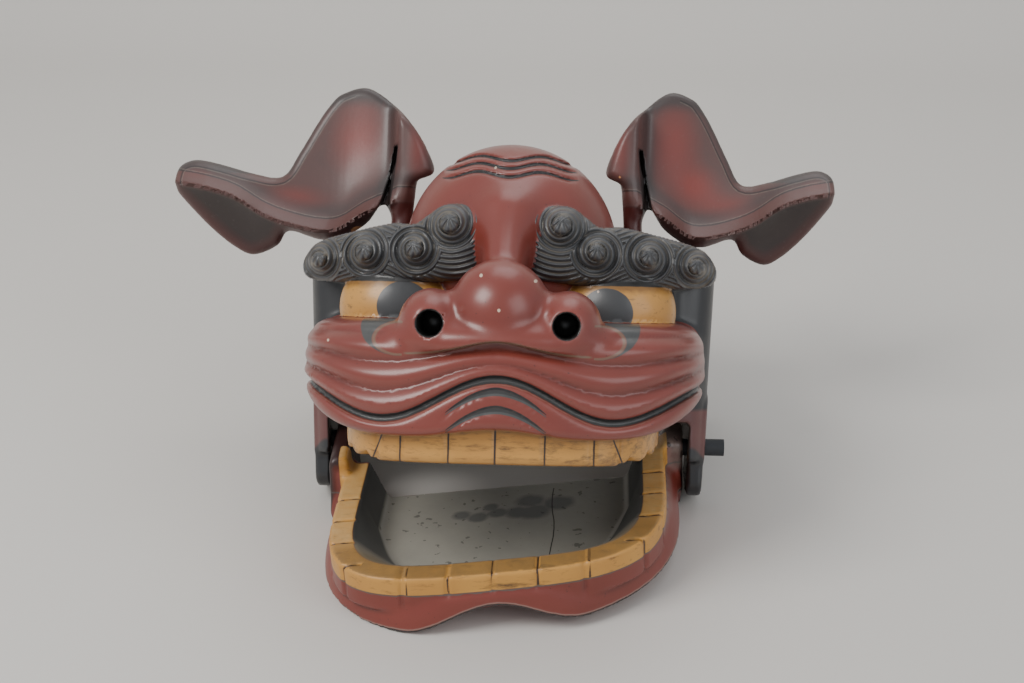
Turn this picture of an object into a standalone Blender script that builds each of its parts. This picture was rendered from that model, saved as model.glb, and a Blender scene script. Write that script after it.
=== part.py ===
"""Lion dance head: a carved and lacquered wooden head with a hinged lower jaw and two ears that lift out.

The head stands on a floor with its mouth wide open. Metres, +Z up, the face looks along -Y, +X is to the
right of somebody who looks at the face. The upper head is described in its own frame: origin on the hinge of
the jaw, y towards the back, z up, and the whole frame is tipped back by HEAD_PITCH. The lower jaw is told in
the standing frame.
"""

from math import cos, pi, radians, sin

import bmesh
import bpy
import numpy as np
from mathutils import Euler, Matrix, Vector

# The object as a whole: the middle plane of the head stands to the right of the middle of the whole
STAND_X = 0.0115
STAND_Y = -0.0265
HEAD_WIDTH = 0.300
SIDE_FLARE = 0.040
HEAD_PITCH = radians(24.5)
HINGE_Y = 0.018
HINGE_Z = 0.044
REAR_RIM_Y = 0.140
RIM_BAND_Y = 0.112
RIM_BAND_THICK = 0.005
WALL = 0.013

# Skull: a box with round shoulders and a long dome on top
SHOULDER_Z = 0.148
WALL_FOOT_Z = -0.010
THROAT_Z = 0.020
FACE_PLANE_Y = -0.030
CORE_PLANE_Y = -0.082
CORE_HALF_WIDTH = 0.120
DOME_HALF_WIDTH = 0.080
DOME_CENTRE_Y = -0.035
DOME_CENTRE_Z = 0.145
DOME_RISE = 0.0825
DOME_REACH = 0.085
WRINKLE_Z = (0.2012, 0.2078, 0.2140)
WRINKLE_DEPTH = 0.0022

# Muzzle: a wide U in plan that rolls over at the top
MUZZLE_HALF_WIDTH = 0.1445
MUZZLE_START_Y = -0.065
MUZZLE_REACH = 0.136
MUZZLE_TOP_Z = 0.096
FOLDS = 3
FOLD_DEPTH = 0.0044

# Upper teeth
TEETH_HALF_WIDTH = 0.112
TEETH_REACH = 0.119
TEETH_THICK = 0.014
FANG_NOTCH = 0.0045
TOOTH_GAP_X = (0.0, 0.0325, 0.0650, 0.0820)

# Nose, eyes and brows
NOSE_CENTRE = (0.0, -0.171, 0.1045)
NOSE_RADII = (0.0340, 0.035, 0.0340)
WING_CENTRE = (0.0465, -0.170, 0.0940)
WING_RADII = (0.0225, 0.032, 0.0240)
NOSTRIL_RADIUS = 0.0085
NOSE_FOOT_Z = 0.0740
NOSE_FOOT_WAVE = 0.0090
BRIDGE_RADIUS = 0.0145
EYE_CENTRE = (0.0780, -0.077, 0.104)
EYE_RADII = (0.0450, 0.038, 0.040)
BROW_OUTLINE = ((0.0145, 0.128), (0.0145, 0.163), (0.021, 0.1740), (0.033, 0.1790), (0.047, 0.1775),
                (0.057, 0.1705), (0.067, 0.1640), (0.083, 0.1645), (0.112, 0.1585), (0.137, 0.1520),
                (0.147, 0.1455), (0.1525, 0.1340), (0.147, 0.1235), (0.120, 0.1210), (0.080, 0.1215),
                (0.036, 0.1235))
BROW_FRONT_Y = -0.127
BROW_SWEEP = 0.040
BROW_BUDS = ((0.0395, 0.1640, 0.0150), (0.0645, 0.1455, 0.0135), (0.1015, 0.1430, 0.0135),
             (0.1365, 0.1375, 0.0125))
BROW_BUD_RISE = 0.0085

# Hinge: two cheeks on the head, two arms on the jaw and one loose rod
LUG_FRONT_Y = -0.017
LUG_BACK_Y = 0.060
LUG_FOOT_Z = -0.037
ROD_RADIUS = 0.0065
ROD_CLEARANCE = 0.0006
ROD_LEFT_X = -0.146
ROD_RIGHT_X = 0.166
ARM_CLEARANCE = 0.0030
ARM_THICK = 0.0150
ARM_LAP = 0.020
ARM_FOOT_Z = 0.002
ARM_BACK = 0.017
ARM_RISE = 0.016

# Ears: a carved leaf on a peg that stands in a socket
PEG_X = 0.0935
PEG_Y = 0.045
PEG_RADIUS = 0.0060
PEG_CLEARANCE = 0.0008
PEG_DEPTH = 0.022
EAR_THICK = 0.0115
EAR_BOWL = 0.024
EAR_BOWL_RUN = 0.022
EAR_FLAP = 0.022
EAR_FLAP_RUN = 0.020
EAR_SWEEP = 0.006
EAR_SWEEP_RUN = 0.120
EAR_FOLD_X = 0.004
EAR_FOLD_BLEND = 0.003
EAR_FOLD_BED = -0.010
EAR_FOLD_RUN = 0.022
EAR_FOLD_RISE = 0.010
EAR_SLOT_X = 0.005
EAR_SLOT_WIDTH = 0.0030
EAR_SLOT_TOP_Z = 0.084
EAR_SLOT_FLOOR = 0.0010
STALK_RADIUS = 0.0085
STALK_TOP = (-0.003, 0.005, 0.058)
STALK_FOOT_Z = 0.010
LEFT_EAR_STRETCH = 1.00
RIGHT_EAR_STRETCH = 0.87

# Lower jaw: a tray with a row of teeth and a rolled lip, set a little askew on its arms
JAW_SIDE_GAP = 0.0060
JAW_HALF_WIDTH = HEAD_WIDTH / 2 - WALL - JAW_SIDE_GAP
JAW_START_Y = -0.055
JAW_REACH = 0.124
JAW_WAVE = 0.008
JAW_TOP_Z = 0.046
JAW_GUM_Z = 0.032
JAW_EDGE_Z = 0.012
JAW_LIP_WIDTH = 0.0095
JAW_TEETH_HALF_WIDTH = JAW_HALF_WIDTH - JAW_LIP_WIDTH
JAW_TEETH_REACH = 0.113
JAW_TEETH_THICK = 0.018
JAW_BACK_Y = 0.004
TRAY_FLOOR_Z = 0.013
JAW_LOBE_X = 0.066
JAW_GAP_X = (0.0, 0.0308, 0.0625)
JAW_GAP_Y = (-0.140, -0.110, -0.080, -0.050)
JAW_SKEW = 0.125
JAW_ROLL = radians(3.5)
JAW_UNDERCUT = 1.8

# Meshing
GRID_MARGIN = 0.012
HEAD_CELL = 0.0034
JAW_CELL = 0.0034
EAR_CELL = 0.0030
HEAD_TRIANGLES = 5200
JAW_TRIANGLES = 2100
EAR_TRIANGLES = 760


def soft_max(a, b, blend):
    """The larger of two distances, with a fillet of about the given size where they meet."""
    near = np.maximum(blend - np.abs(a - b), 0.0) / blend
    return np.maximum(a, b) + near * near * blend * 0.25


def soft_min(a, b, blend):
    return -soft_max(-a, -b, blend)


def ellipsoid(p, centre, radii):
    """Distance from an ellipsoid, exact on its surface and close to it nearby."""
    k0 = np.sqrt(sum(((q - c) / r) ** 2 for q, c, r in zip(p, centre, radii)))
    k1 = np.sqrt(sum(((q - c) / r ** 2) ** 2 for q, c, r in zip(p, centre, radii)))
    return k0 * (k0 - 1.0) / np.maximum(k1, 1e-9)


def rounded_box(p, low, high, radius):
    out = [np.abs(q - (l + h) / 2) - (h - l) / 2 + radius for q, l, h in zip(p, low, high)]
    outside = np.sqrt(sum(np.maximum(o, 0.0) ** 2 for o in out))
    inside = np.minimum(np.maximum(np.maximum(out[0], out[1]), out[2]), 0.0)
    return outside + inside - radius


def capsule(p, start, end, radius):
    span = [e - s for s, e in zip(start, end)]
    along = sum((q - s) * d for q, s, d in zip(p, start, span)) / sum(d * d for d in span)
    along = np.clip(along, 0.0, 1.0)
    return np.sqrt(sum((q - s - along * d) ** 2 for q, s, d in zip(p, start, span))) - radius


def u_plan(across, y, half_width, start_y, reach, power=2.8):
    """Distance outside a U in plan: straight sides behind start_y and a round front ahead of it."""
    ahead = np.maximum(start_y - y, 0.0) / reach
    return ((across / half_width) ** power + ahead ** power) ** (1 / power) * half_width - half_width


def smooth_path(points, steps, closed=False):
    """Points on a Catmull-Rom curve through the given ones."""
    points = np.array(points, float)
    if closed:
        ring = np.vstack([points[-1], points, points[0], points[1]])
    else:
        ring = np.vstack([2 * points[0] - points[1], points, 2 * points[-1] - points[-2]])
    t = np.linspace(0, 1, steps, endpoint=False)[:, None]
    parts = []
    for a, b, c, d in zip(ring, ring[1:], ring[2:], ring[3:]):
        bend = (2 * a - 5 * b + 4 * c - d) * t ** 2 + (3 * b - a - 3 * c + d) * t ** 3
        parts.append(b + 0.5 * ((c - a) * t + bend))
    return np.vstack(parts + ([] if closed else [points[-1:]]))


def outline_distance(u, v, outline):
    """Signed distance to a closed outline in a plane, negative inside."""
    nearest = np.full(np.broadcast(u, v).shape, 1e9)
    inside = np.zeros(nearest.shape, bool)
    for (u0, v0), (u1, v1) in zip(outline, np.roll(outline, -1, axis=0)):
        du, dv = u1 - u0, v1 - v0
        along = np.clip(((u - u0) * du + (v - v0) * dv) / (du * du + dv * dv), 0, 1)
        nearest = np.minimum(nearest, (u - u0 - along * du) ** 2 + (v - v0 - along * dv) ** 2)
        if dv != 0:
            crosses = ((v0 <= v) != (v1 <= v)) & (u < u0 + (v - v0) * du / dv)
            inside ^= crosses
    return np.where(inside, -1.0, 1.0) * np.sqrt(nearest)


def groove_line(across):
    """Height of the black groove of the upper lip: a high wave in the middle and rising ends."""
    middle = 0.044 + 0.014 * np.cos(pi * across / 0.078)
    end = 0.030 + 0.012 * (1 - np.cos(pi * (across - 0.078) / 0.078))
    return np.where(across < 0.078, middle, end)


def lip_line(across):
    """Height of the lower edge of the upper lip."""
    middle = 0.0187 + 0.0028 * (1 + np.cos(pi * np.minimum(across / 0.060, 1.0)))
    return middle + 0.0213 * (np.maximum(across - 0.060, 0.0) / 0.078) ** 3


def muzzle(p):
    across, y, z = p
    outline = u_plan(across, y, MUZZLE_HALF_WIDTH, MUZZLE_START_Y, MUZZLE_REACH)
    groove = groove_line(across)
    level = (z - groove) / (MUZZLE_TOP_Z - 0.008 - groove)
    inside_folds = np.clip(level * 6, 0, 1) * np.clip((1.15 - level) * 6, 0, 1)
    ends = 1 - 0.9 * np.clip((y + 0.150) / 0.055, 0, 1)
    strength = FOLD_DEPTH * (0.35 + 0.65 * np.clip(across / 0.045, 0, 1)) * inside_folds * ends
    folds = strength * (0.5 - np.sqrt(np.sin(pi * FOLDS * level) ** 2 + 0.03))
    roll = 0.0035 * np.exp(-((z - groove) / 0.0035) ** 2)
    back = 0.010 * np.clip(level, 0, 1.3) ** 2 * (1 - 0.8 * (across / MUZZLE_HALF_WIDTH) ** 2)
    body = outline + folds + roll + back
    body = soft_max(body, z - MUZZLE_TOP_Z, 0.018)
    return soft_max(body, lip_line(across) - z, 0.008)


def upper_teeth(p):
    across, y, z = p
    outline = u_plan(across, y, TEETH_HALF_WIDTH, MUZZLE_START_Y, TEETH_REACH, 3.5)
    along_side = np.clip((y + 0.168) / 0.105, 0, 1)
    notches = 0.5 + 0.5 * np.cos(2 * pi * (y + 0.1625) / 0.020)
    tip = 0.016 * along_side + FANG_NOTCH * notches * np.clip((y + 0.168) / 0.004, 0, 1)
    gaps = sum(np.exp(-((across - gap) / 0.0018) ** 2) for gap in TOOTH_GAP_X) * (y < -0.12)
    ring = soft_max(outline + 0.0012 * gaps, -outline - TEETH_THICK, 0.002)
    ring = soft_max(ring, z - 0.045, 0.004)
    return soft_max(ring, tip - z, 0.003)


def bridge(p):
    """The ridge that runs down the forehead into the nose."""
    return capsule(p, (0, NOSE_CENTRE[1] + 0.006, NOSE_CENTRE[2]),
                   (0, NOSE_CENTRE[1] + 0.061, NOSE_CENTRE[2] + 0.063), BRIDGE_RADIUS)


def skull(p):
    across, y, z = p
    half = HEAD_WIDTH / 2
    flared = (across - SIDE_FLARE * z, y, z)
    box = rounded_box(flared, (-half, FACE_PLANE_Y, -0.06), (half, REAR_RIM_Y + 0.03, SHOULDER_Z), 0.022)
    box = soft_max(box, WALL_FOOT_Z - z, 0.004)
    core = rounded_box(p, (-CORE_HALF_WIDTH, CORE_PLANE_Y, 0.020), (CORE_HALF_WIDTH, 0.0, SHOULDER_Z), 0.020)
    box = soft_min(box, core, 0.020)
    back = np.where(y > DOME_CENTRE_Y, DOME_CENTRE_Y + 0.35 * (y - DOME_CENTRE_Y), y)
    dome = ellipsoid((across, back, z), (0, DOME_CENTRE_Y, DOME_CENTRE_Z),
                     (DOME_HALF_WIDTH, DOME_REACH, DOME_RISE))
    wave = 0.0022 * np.cos(2 * pi * across / 0.046)
    wrinkles = sum(np.exp(-((z - level + wave) / 0.0016) ** 2) for level in WRINKLE_Z)
    dome = dome + WRINKLE_DEPTH * wrinkles * np.clip((0.050 - across) / 0.008, 0, 1) * (y < 0)
    return soft_min(soft_min(dome, bridge(p), 0.026), box, 0.012)


def hinge_cheek(p):
    across, y, z = p
    half = HEAD_WIDTH / 2
    plate = rounded_box((across - SIDE_FLARE * z, y, z), (half - WALL, -1, -1), (half, 1, 1), 0.003)
    side = rounded_box((across * 0, y, z), (-1, LUG_FRONT_Y, LUG_FOOT_Z), (1, LUG_BACK_Y, 0.04), 0.012)
    return soft_max(plate, side, 0.003)


def nose_foot(across):
    """Height of the line on which the nose sits on the muzzle."""
    return NOSE_FOOT_Z + NOSE_FOOT_WAVE * np.exp(-(across / 0.032) ** 2)


def nose(p):
    ball = ellipsoid(p, NOSE_CENTRE, NOSE_RADII)
    wing = ellipsoid(p, WING_CENTRE, WING_RADII)
    plate = ellipsoid(p, (0, -0.165, 0.083), (0.085, 0.042, 0.020))
    shape = soft_min(soft_min(ball, wing, 0.010), bridge(p), 0.012)
    return soft_max(soft_min(shape, plate, 0.006), nose_foot(p[0]) - p[2], 0.002)


def nostril(p):
    x, y, z = WING_CENTRE
    return capsule(p, (x, y - 0.050, z), (x - 0.002, y - 0.008, z + 0.001), NOSTRIL_RADIUS)


def brow(p):
    """A thick band over the eye, rolled in section, with a row of curl buds standing out of its front."""
    across, y, z = p
    edge = outline_distance(across, z, smooth_path(BROW_OUTLINE, 4, closed=True))
    front = BROW_FRONT_Y + BROW_SWEEP * (np.clip(across / 0.15, 0, 1.1)) ** 2
    front = front - 0.012 * (1 - np.exp(np.minimum(edge, 0.0) / 0.007)) + 0.012
    for u, v, radius in BROW_BUDS:
        away = np.sqrt((across - u) ** 2 + (z - v) ** 2) / radius
        bud = np.exp(-(away / 0.62) ** 4) - 0.45 * np.exp(-((away - 1.0) / 0.22) ** 2)
        front = front - BROW_BUD_RISE * bud
    return soft_max(soft_max(edge, front - y, 0.006), y + 0.030, 0.004)


def hollow(p):
    """The empty inside: a room behind the face, a vault in the dome, the mouth, cheeks and eyes."""
    across, y, z = p
    band = RIM_BAND_THICK * np.clip((y - RIM_BAND_Y) / 0.004, 0, 1)
    wall = WALL + band
    half = HEAD_WIDTH / 2
    flared = (across - SIDE_FLARE * z, y, z)
    room = rounded_box(flared, (-half, FACE_PLANE_Y, -0.20), (half, 0.30, SHOULDER_Z), 0.028) + wall
    core = CORE_HALF_WIDTH
    front_room = rounded_box(p, (-core, CORE_PLANE_Y, -0.20), (core, 0.10, SHOULDER_Z), 0.028)
    room = soft_min(room, front_room + WALL, 0.006)
    back = np.where(y > DOME_CENTRE_Y, DOME_CENTRE_Y + 0.35 * (y - DOME_CENTRE_Y), y)
    vault = ellipsoid((across, back, z), (0, DOME_CENTRE_Y, DOME_CENTRE_Z),
                      (DOME_HALF_WIDTH - WALL, DOME_REACH - WALL, DOME_RISE - WALL)) + band
    room = soft_min(room, vault, 0.010)
    mouth = u_plan(across, y, TEETH_HALF_WIDTH - TEETH_THICK, MUZZLE_START_Y, TEETH_REACH - TEETH_THICK, 3.5)
    mouth = soft_max(mouth, z - MUZZLE_TOP_Z + 1.5 * WALL, 0.020)
    cheek = u_plan(across, y, MUZZLE_HALF_WIDTH - 1.5 * WALL, MUZZLE_START_Y, MUZZLE_REACH - 1.5 * WALL)
    cheek = soft_max(cheek, np.abs(z - 0.061) - 0.015, 0.012)
    throat = rounded_box(flared, (WALL - half, 1.5 * FACE_PLANE_Y, -0.20), (half - WALL, 0.10, THROAT_Z),
                         0.004)
    eye = ellipsoid(p, EYE_CENTRE, [radius - WALL for radius in EYE_RADII])
    for space in (mouth, cheek, throat, eye):
        room = soft_min(room, space, 0.008)
    return room


def upper_head_field(x, y, z):
    p = (np.abs(x), y, z)
    shape = soft_min(skull(p), muzzle(p), 0.006)
    shape = soft_min(shape, ellipsoid(p, EYE_CENTRE, EYE_RADII), 0.003)
    shape = soft_min(shape, nose(p), 0.004)
    shape = soft_min(shape, brow(p), 0.003)
    shape = soft_min(shape, upper_teeth(p), 0.002)
    shape = soft_min(shape, hinge_cheek(p), 0.004)
    shape = soft_max(shape, -nostril(p), 0.003)
    shape = soft_max(shape, -hollow(p), 0.003)
    return soft_max(shape, y - REAR_RIM_Y - 0.008, 0.002)


EAR_OUTLINE = ((-0.0262, 0.0630), (-0.0215, 0.0804), (-0.0097, 0.1000), (0.0076, 0.1180), (0.0310, 0.1335),
               (0.0520, 0.1290), (0.0620, 0.1200), (0.0725, 0.1040), (0.0861, 0.0790), (0.0988, 0.0590),
               (0.1223, 0.0610), (0.1430, 0.0664), (0.1665, 0.0707), (0.1797, 0.0639), (0.1801, 0.0474),
               (0.1759, 0.0387), (0.1571, 0.0183), (0.1378, 0.0023), (0.1204, -0.0054), (0.1002, 0.0023),
               (0.0894, 0.0139), (0.0655, 0.0077), (0.0481, 0.0093), (0.0278, 0.0210), (0.0147, 0.0358),
               (0.0034, 0.0329), (-0.0050, 0.0436), (-0.0097, 0.0548))
EAR_RIDGE = ((0.0020, 0.0406), (0.0278, 0.0290), (0.0481, 0.0164), (0.0655, 0.0145), (0.0894, 0.0193),
             (0.1092, 0.0266), (0.1317, 0.0397), (0.1536, 0.0465), (0.1815, 0.0513))


def ear_depth(u, v):
    """How far back the middle of the leaf lies: a bowl behind a rolled rim, and a flap under the wing."""
    ridge_u, ridge_v = smooth_path(EAR_RIDGE, 6).T
    rim = np.interp(u, ridge_u, ridge_v)
    sweep = -EAR_SWEEP * (1 + np.clip(u / EAR_SWEEP_RUN, 0, 1.3) ** 1.5)
    height = v - rim
    bowl = EAR_BOWL * (1 - np.exp(-np.maximum(height, 0.0) / EAR_BOWL_RUN)) + 0.10 * np.maximum(height, 0.0)
    flap = EAR_FLAP * (1 - np.exp(-np.maximum(-height, 0.0) / EAR_FLAP_RUN))
    fold = EAR_FOLD_RISE * ((u - EAR_FOLD_BED) / EAR_FOLD_RUN) ** 2 - EAR_SWEEP
    inner = 1 / (1 + np.exp((u - EAR_FOLD_X) / EAR_FOLD_BLEND))
    return (sweep + bowl + flap) * (1 - inner) + fold * inner


def ear_field(x, y, z):
    edge = outline_distance(x, z, smooth_path(EAR_OUTLINE, 5, closed=True))
    step = 0.001
    slope_x = (ear_depth(x + step, z) - ear_depth(x - step, z)) / (2 * step)
    slope_z = (ear_depth(x, z + step) - ear_depth(x, z - step)) / (2 * step)
    leaf = np.abs(y - ear_depth(x, z)) / np.sqrt(1 + slope_x ** 2 + slope_z ** 2) - EAR_THICK / 2
    leaf = soft_max(leaf, edge, EAR_THICK * 0.7)
    below = np.clip(EAR_SLOT_TOP_Z - z, 0, EAR_SLOT_TOP_Z)
    slot = np.abs(x - EAR_SLOT_X - 0.15 * below) - EAR_SLOT_WIDTH / 2 - 0.035 * below
    slot = np.maximum(np.maximum(slot, z - EAR_SLOT_TOP_Z), y - ear_depth(x, z) - EAR_SLOT_FLOOR)
    leaf = soft_max(leaf, -slot, 0.003)
    stalk = capsule((x, y, z), STALK_TOP, (0, 0, STALK_FOOT_Z), STALK_RADIUS)
    return soft_min(leaf, stalk, 0.010)


def tray_frame(x, y, z):
    """Coordinates in the tray's own frame: it leans to one side and its front runs back to the right."""
    lift = z - JAW_EDGE_Z
    u = x * cos(JAW_ROLL) + lift * sin(JAW_ROLL)
    w = lift * cos(JAW_ROLL) - x * sin(JAW_ROLL)
    return u, y - JAW_SKEW * x, w + JAW_EDGE_Z


def jaw_tooth_gaps(across, v):
    """One at each gap between two lower teeth, in front and along the sides, and nought on the teeth."""
    front = sum(np.exp(-((across - gap) / 0.0016) ** 2) for gap in JAW_GAP_X) * (v < -0.135)
    side = sum(np.exp(-((v - gap) / 0.0016) ** 2) for gap in JAW_GAP_Y) * (across > 0.09)
    return front + side


def lower_jaw_field(x, y, z):
    u, v, w = tray_frame(x, y, z)
    across = np.abs(u)
    forward = np.clip((-0.050 - v) / 0.080, 0, 1)
    wave = 0.5 * (1 + np.cos(pi * np.clip(across / JAW_LOBE_X, 0, 1)))
    edge = JAW_EDGE_Z - 0.004 + forward * (0.017 * wave - 0.003)
    outline = u_plan(across, v, JAW_HALF_WIDTH, JAW_START_Y, JAW_REACH - JAW_WAVE * wave, 2.3)
    flare = 0.010 * (np.maximum(w - edge, 0.0) / 0.026) ** 2
    undercut = (0.3 + JAW_UNDERCUT * forward) * np.maximum(edge - w, 0.0)
    body = outline + flare + undercut
    body = soft_max(body, w - JAW_GUM_Z, 0.005)
    teeth = u_plan(across, v, JAW_TEETH_HALF_WIDTH, JAW_START_Y, JAW_TEETH_REACH, 3.4)
    teeth = soft_max(teeth, np.abs(w - JAW_GUM_Z) - (JAW_TOP_Z - JAW_GUM_Z), 0.003)
    teeth = teeth + 0.0014 * jaw_tooth_gaps(across, v)
    body = soft_min(body, teeth, 0.002)
    body = soft_max(body, v - JAW_BACK_Y, 0.002)
    tray = u_plan(across, v, JAW_TEETH_HALF_WIDTH - JAW_TEETH_THICK, JAW_START_Y,
                  JAW_TEETH_REACH - JAW_TEETH_THICK, 4.0)
    tray = soft_max(tray + (0.35 + 0.8 * forward) * (JAW_TOP_Z - w), TRAY_FLOOR_Z - w, 0.004)
    body = soft_max(body, -tray, 0.002)
    outer = HEAD_WIDTH / 2 - WALL - ARM_CLEARANCE
    arm = rounded_box((np.abs(x), y, z), (outer - ARM_THICK, -1, ARM_FOOT_Z),
                      (outer, HINGE_Y + ARM_BACK, HINGE_Z + ARM_RISE), 0.005)
    arm = soft_max(arm, JAW_BACK_Y - ARM_LAP - v, 0.004)
    slope = z - (HINGE_Z + ARM_RISE) - 0.13 * (y - HINGE_Y)
    arm = soft_max(arm, slope, 0.008)
    return soft_max(soft_min(body, arm, 0.008), -z - 0.01, 0.001)


CELL_CORNERS = [(i >> 2 & 1, i >> 1 & 1, i & 1) for i in range(8)]
CELL_TETRAHEDRA = ((0, 1, 3, 7), (0, 3, 2, 7), (0, 2, 6, 7), (0, 6, 4, 7), (0, 4, 5, 7), (0, 5, 1, 7))


def skin(field, low, high, cell):
    """A closed triangle mesh where a distance field is zero, from six tetrahedra in each crossed cell."""
    axes = [low[k] + cell * np.arange(int(np.ceil((high[k] - low[k]) / cell)) + 1) for k in range(3)]
    size = tuple(len(axis) for axis in axes)
    value = field(axes[0][:, None, None], axes[1][None, :, None], axes[2][None, None, :])
    value = np.broadcast_to(value, size)
    inside = value < 0
    windows = [tuple(slice(o, o + n - 1) for o, n in zip(offset, size)) for offset in CELL_CORNERS]
    count = sum(inside[window].astype(int) for window in windows)
    crossed = np.stack(np.nonzero((count > 0) & (count < 8)), 1)
    corner_ids = [np.ravel_multi_index(tuple((crossed + offset).T), size) for offset in CELL_CORNERS]
    value, inside = value.ravel(), inside.ravel()
    place = np.stack(np.unravel_index(np.arange(value.size), size), 1) * cell + np.array(low)
    ends, outward = [], []
    for tetrahedron in CELL_TETRAHEDRA:
        ids = np.stack([corner_ids[c] for c in tetrahedron], 1)
        within = inside[ids]
        ids = np.take_along_axis(ids, np.argsort(~within, axis=1, kind="stable"), 1)
        number = within.sum(1)
        for amount, triangles in ((1, ((0, 1, 0, 2, 0, 3),)), (3, ((0, 3, 1, 3, 2, 3),)),
                                  (2, ((0, 2, 0, 3, 1, 3), (0, 2, 1, 3, 1, 2)))):
            chosen = ids[number == amount]
            middle_in = place[chosen[:, :amount]].mean(1)
            middle_out = place[chosen[:, amount:]].mean(1)
            for triangle in triangles:
                ends.append(chosen[:, triangle].reshape(-1, 3, 2))
                outward.append(middle_out - middle_in)
    ends, outward = np.vstack(ends), np.vstack(outward)
    edges, corners = np.unique(np.sort(ends, axis=2).reshape(-1, 2), axis=0, return_inverse=True)
    start, end = value[edges[:, 0]], value[edges[:, 1]]
    share = np.clip(start / (start - end), 0.04, 0.96)[:, None]
    points = place[edges[:, 0]] * (1 - share) + place[edges[:, 1]] * share
    faces = corners.reshape(-1, 3)
    a, b, c = (points[faces[:, k]] for k in range(3))
    flipped = (np.cross(b - a, c - a) * outward).sum(1) < 0
    faces[flipped] = faces[flipped, ::-1]
    return points, faces


def material(name, colour, roughness, metallic=0.0):
    made = bpy.data.materials.new(name)
    made.use_nodes = True
    shader = made.node_tree.nodes["Principled BSDF"]
    shader.inputs["Base Color"].default_value = (*colour, 1.0)
    shader.inputs["Roughness"].default_value = roughness
    shader.inputs["Metallic"].default_value = metallic
    return made


def add_carving(name, field, low, high, cell, triangles, finish, parent=None):
    """A solid carved by a field, thinned to about the given number of triangles."""
    points, faces = skin(field, low, high, cell)
    mesh = bpy.data.meshes.new(name)
    mesh.from_pydata(points.tolist(), [], faces.tolist())
    mesh.materials.append(finish)
    carving = bpy.data.objects.new(name, mesh)
    model.objects.link(carving)
    carving.parent = parent
    thin = carving.modifiers.new("Thin", "DECIMATE")
    thin.ratio = min(1.0, triangles / len(faces))
    return carving


def add_cutter(name, mesh_from, parent=None):
    shape = bmesh.new()
    mesh_from(shape)
    mesh = bpy.data.meshes.new(name)
    shape.to_mesh(mesh)
    shape.free()
    cutter = bpy.data.objects.new(name, mesh)
    cutters.objects.link(cutter)
    cutter.parent = parent
    cutter.hide_render = True
    cutter.display_type = "WIRE"
    return cutter


def box_cutter(name, low, high, parent=None):
    centre = (Vector(low) + Vector(high)) / 2
    size = Vector(high) - Vector(low)
    place = Matrix.Translation(centre) @ Matrix.Diagonal((*size, 1.0))
    return add_cutter(name, lambda shape: bmesh.ops.create_cube(shape, size=1.0, matrix=place), parent)


def round_cutter(name, centre, axis, radius, length, parent=None, segments=24):
    turn = Vector((0, 0, 1)).rotation_difference(Vector(axis)).to_matrix().to_4x4()
    place = Matrix.Translation(centre) @ turn
    sizes = {"radius1": radius, "radius2": radius, "depth": length, "segments": segments}
    return add_cutter(name, lambda shape: bmesh.ops.create_cone(shape, cap_ends=True, matrix=place, **sizes),
                      parent)


def cut(target, cutter):
    step = target.modifiers.new(cutter.name, "BOOLEAN")
    step.object = cutter
    step.operation = "DIFFERENCE"
    step.solver = "EXACT"


def add_empty(name, location, rotation=(0, 0, 0), parent=None):
    empty = bpy.data.objects.new(name, None)
    model.objects.link(empty)
    empty.location = location
    empty.rotation_euler = Euler(rotation)
    empty.parent = parent
    return empty


for old in list(bpy.data.objects):
    bpy.data.objects.remove(old)
model = bpy.data.collections.new("lion_dance_head")
cutters = bpy.data.collections.new("cutters")
for group in (model, cutters):
    bpy.context.scene.collection.children.link(group)

red_lacquer = material("red_lacquer", (0.27, 0.07, 0.05), 0.35)
ear_lacquer = material("ear_lacquer", (0.10, 0.03, 0.025), 0.45)
slate_paint = material("slate_paint", (0.04, 0.045, 0.05), 0.6)

stand = add_empty("stand", (STAND_X, STAND_Y, 0))
head_frame = add_empty("head_frame", (0, HINGE_Y, HINGE_Z), (-HEAD_PITCH, 0, 0), stand)
jaw_axis = add_empty("jaw_axis", (0, HINGE_Y, HINGE_Z), parent=stand)

# Upper head
side_x = HEAD_WIDTH / 2 + SIDE_FLARE * SHOULDER_Z + GRID_MARGIN
front_y = min(MUZZLE_START_Y - MUZZLE_REACH, NOSE_CENTRE[1] - NOSE_RADII[1]) - GRID_MARGIN
upper_head = add_carving("upper_head", upper_head_field, (-side_x, front_y, LUG_FOOT_Z - GRID_MARGIN),
                         (side_x, REAR_RIM_Y + GRID_MARGIN, DOME_CENTRE_Z + DOME_RISE + GRID_MARGIN),
                         HEAD_CELL, HEAD_TRIANGLES, red_lacquer, head_frame)
far = 2 * HEAD_WIDTH
floor_cutter = box_cutter("floor_cutter", (-far, -far, -far), (far, far, 0.0))
rear_cutter = box_cutter("rear_cutter", (-far, REAR_RIM_Y, -far), (far, REAR_RIM_Y + far, far), head_frame)
rod_hole = round_cutter("rod_hole", (0, 0, 0), (1, 0, 0), ROD_RADIUS + ROD_CLEARANCE, far, head_frame)
cut(upper_head, rear_cutter)
cut(upper_head, floor_cutter)
cut(upper_head, rod_hole)
for side, label in ((-1, "left"), (1, "right")):
    socket = round_cutter(f"{label}_socket", (side * PEG_X, PEG_Y, SHOULDER_Z), (0, 0, 1),
                          PEG_RADIUS + PEG_CLEARANCE, 4 * PEG_DEPTH, head_frame)
    cut(upper_head, socket)

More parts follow.
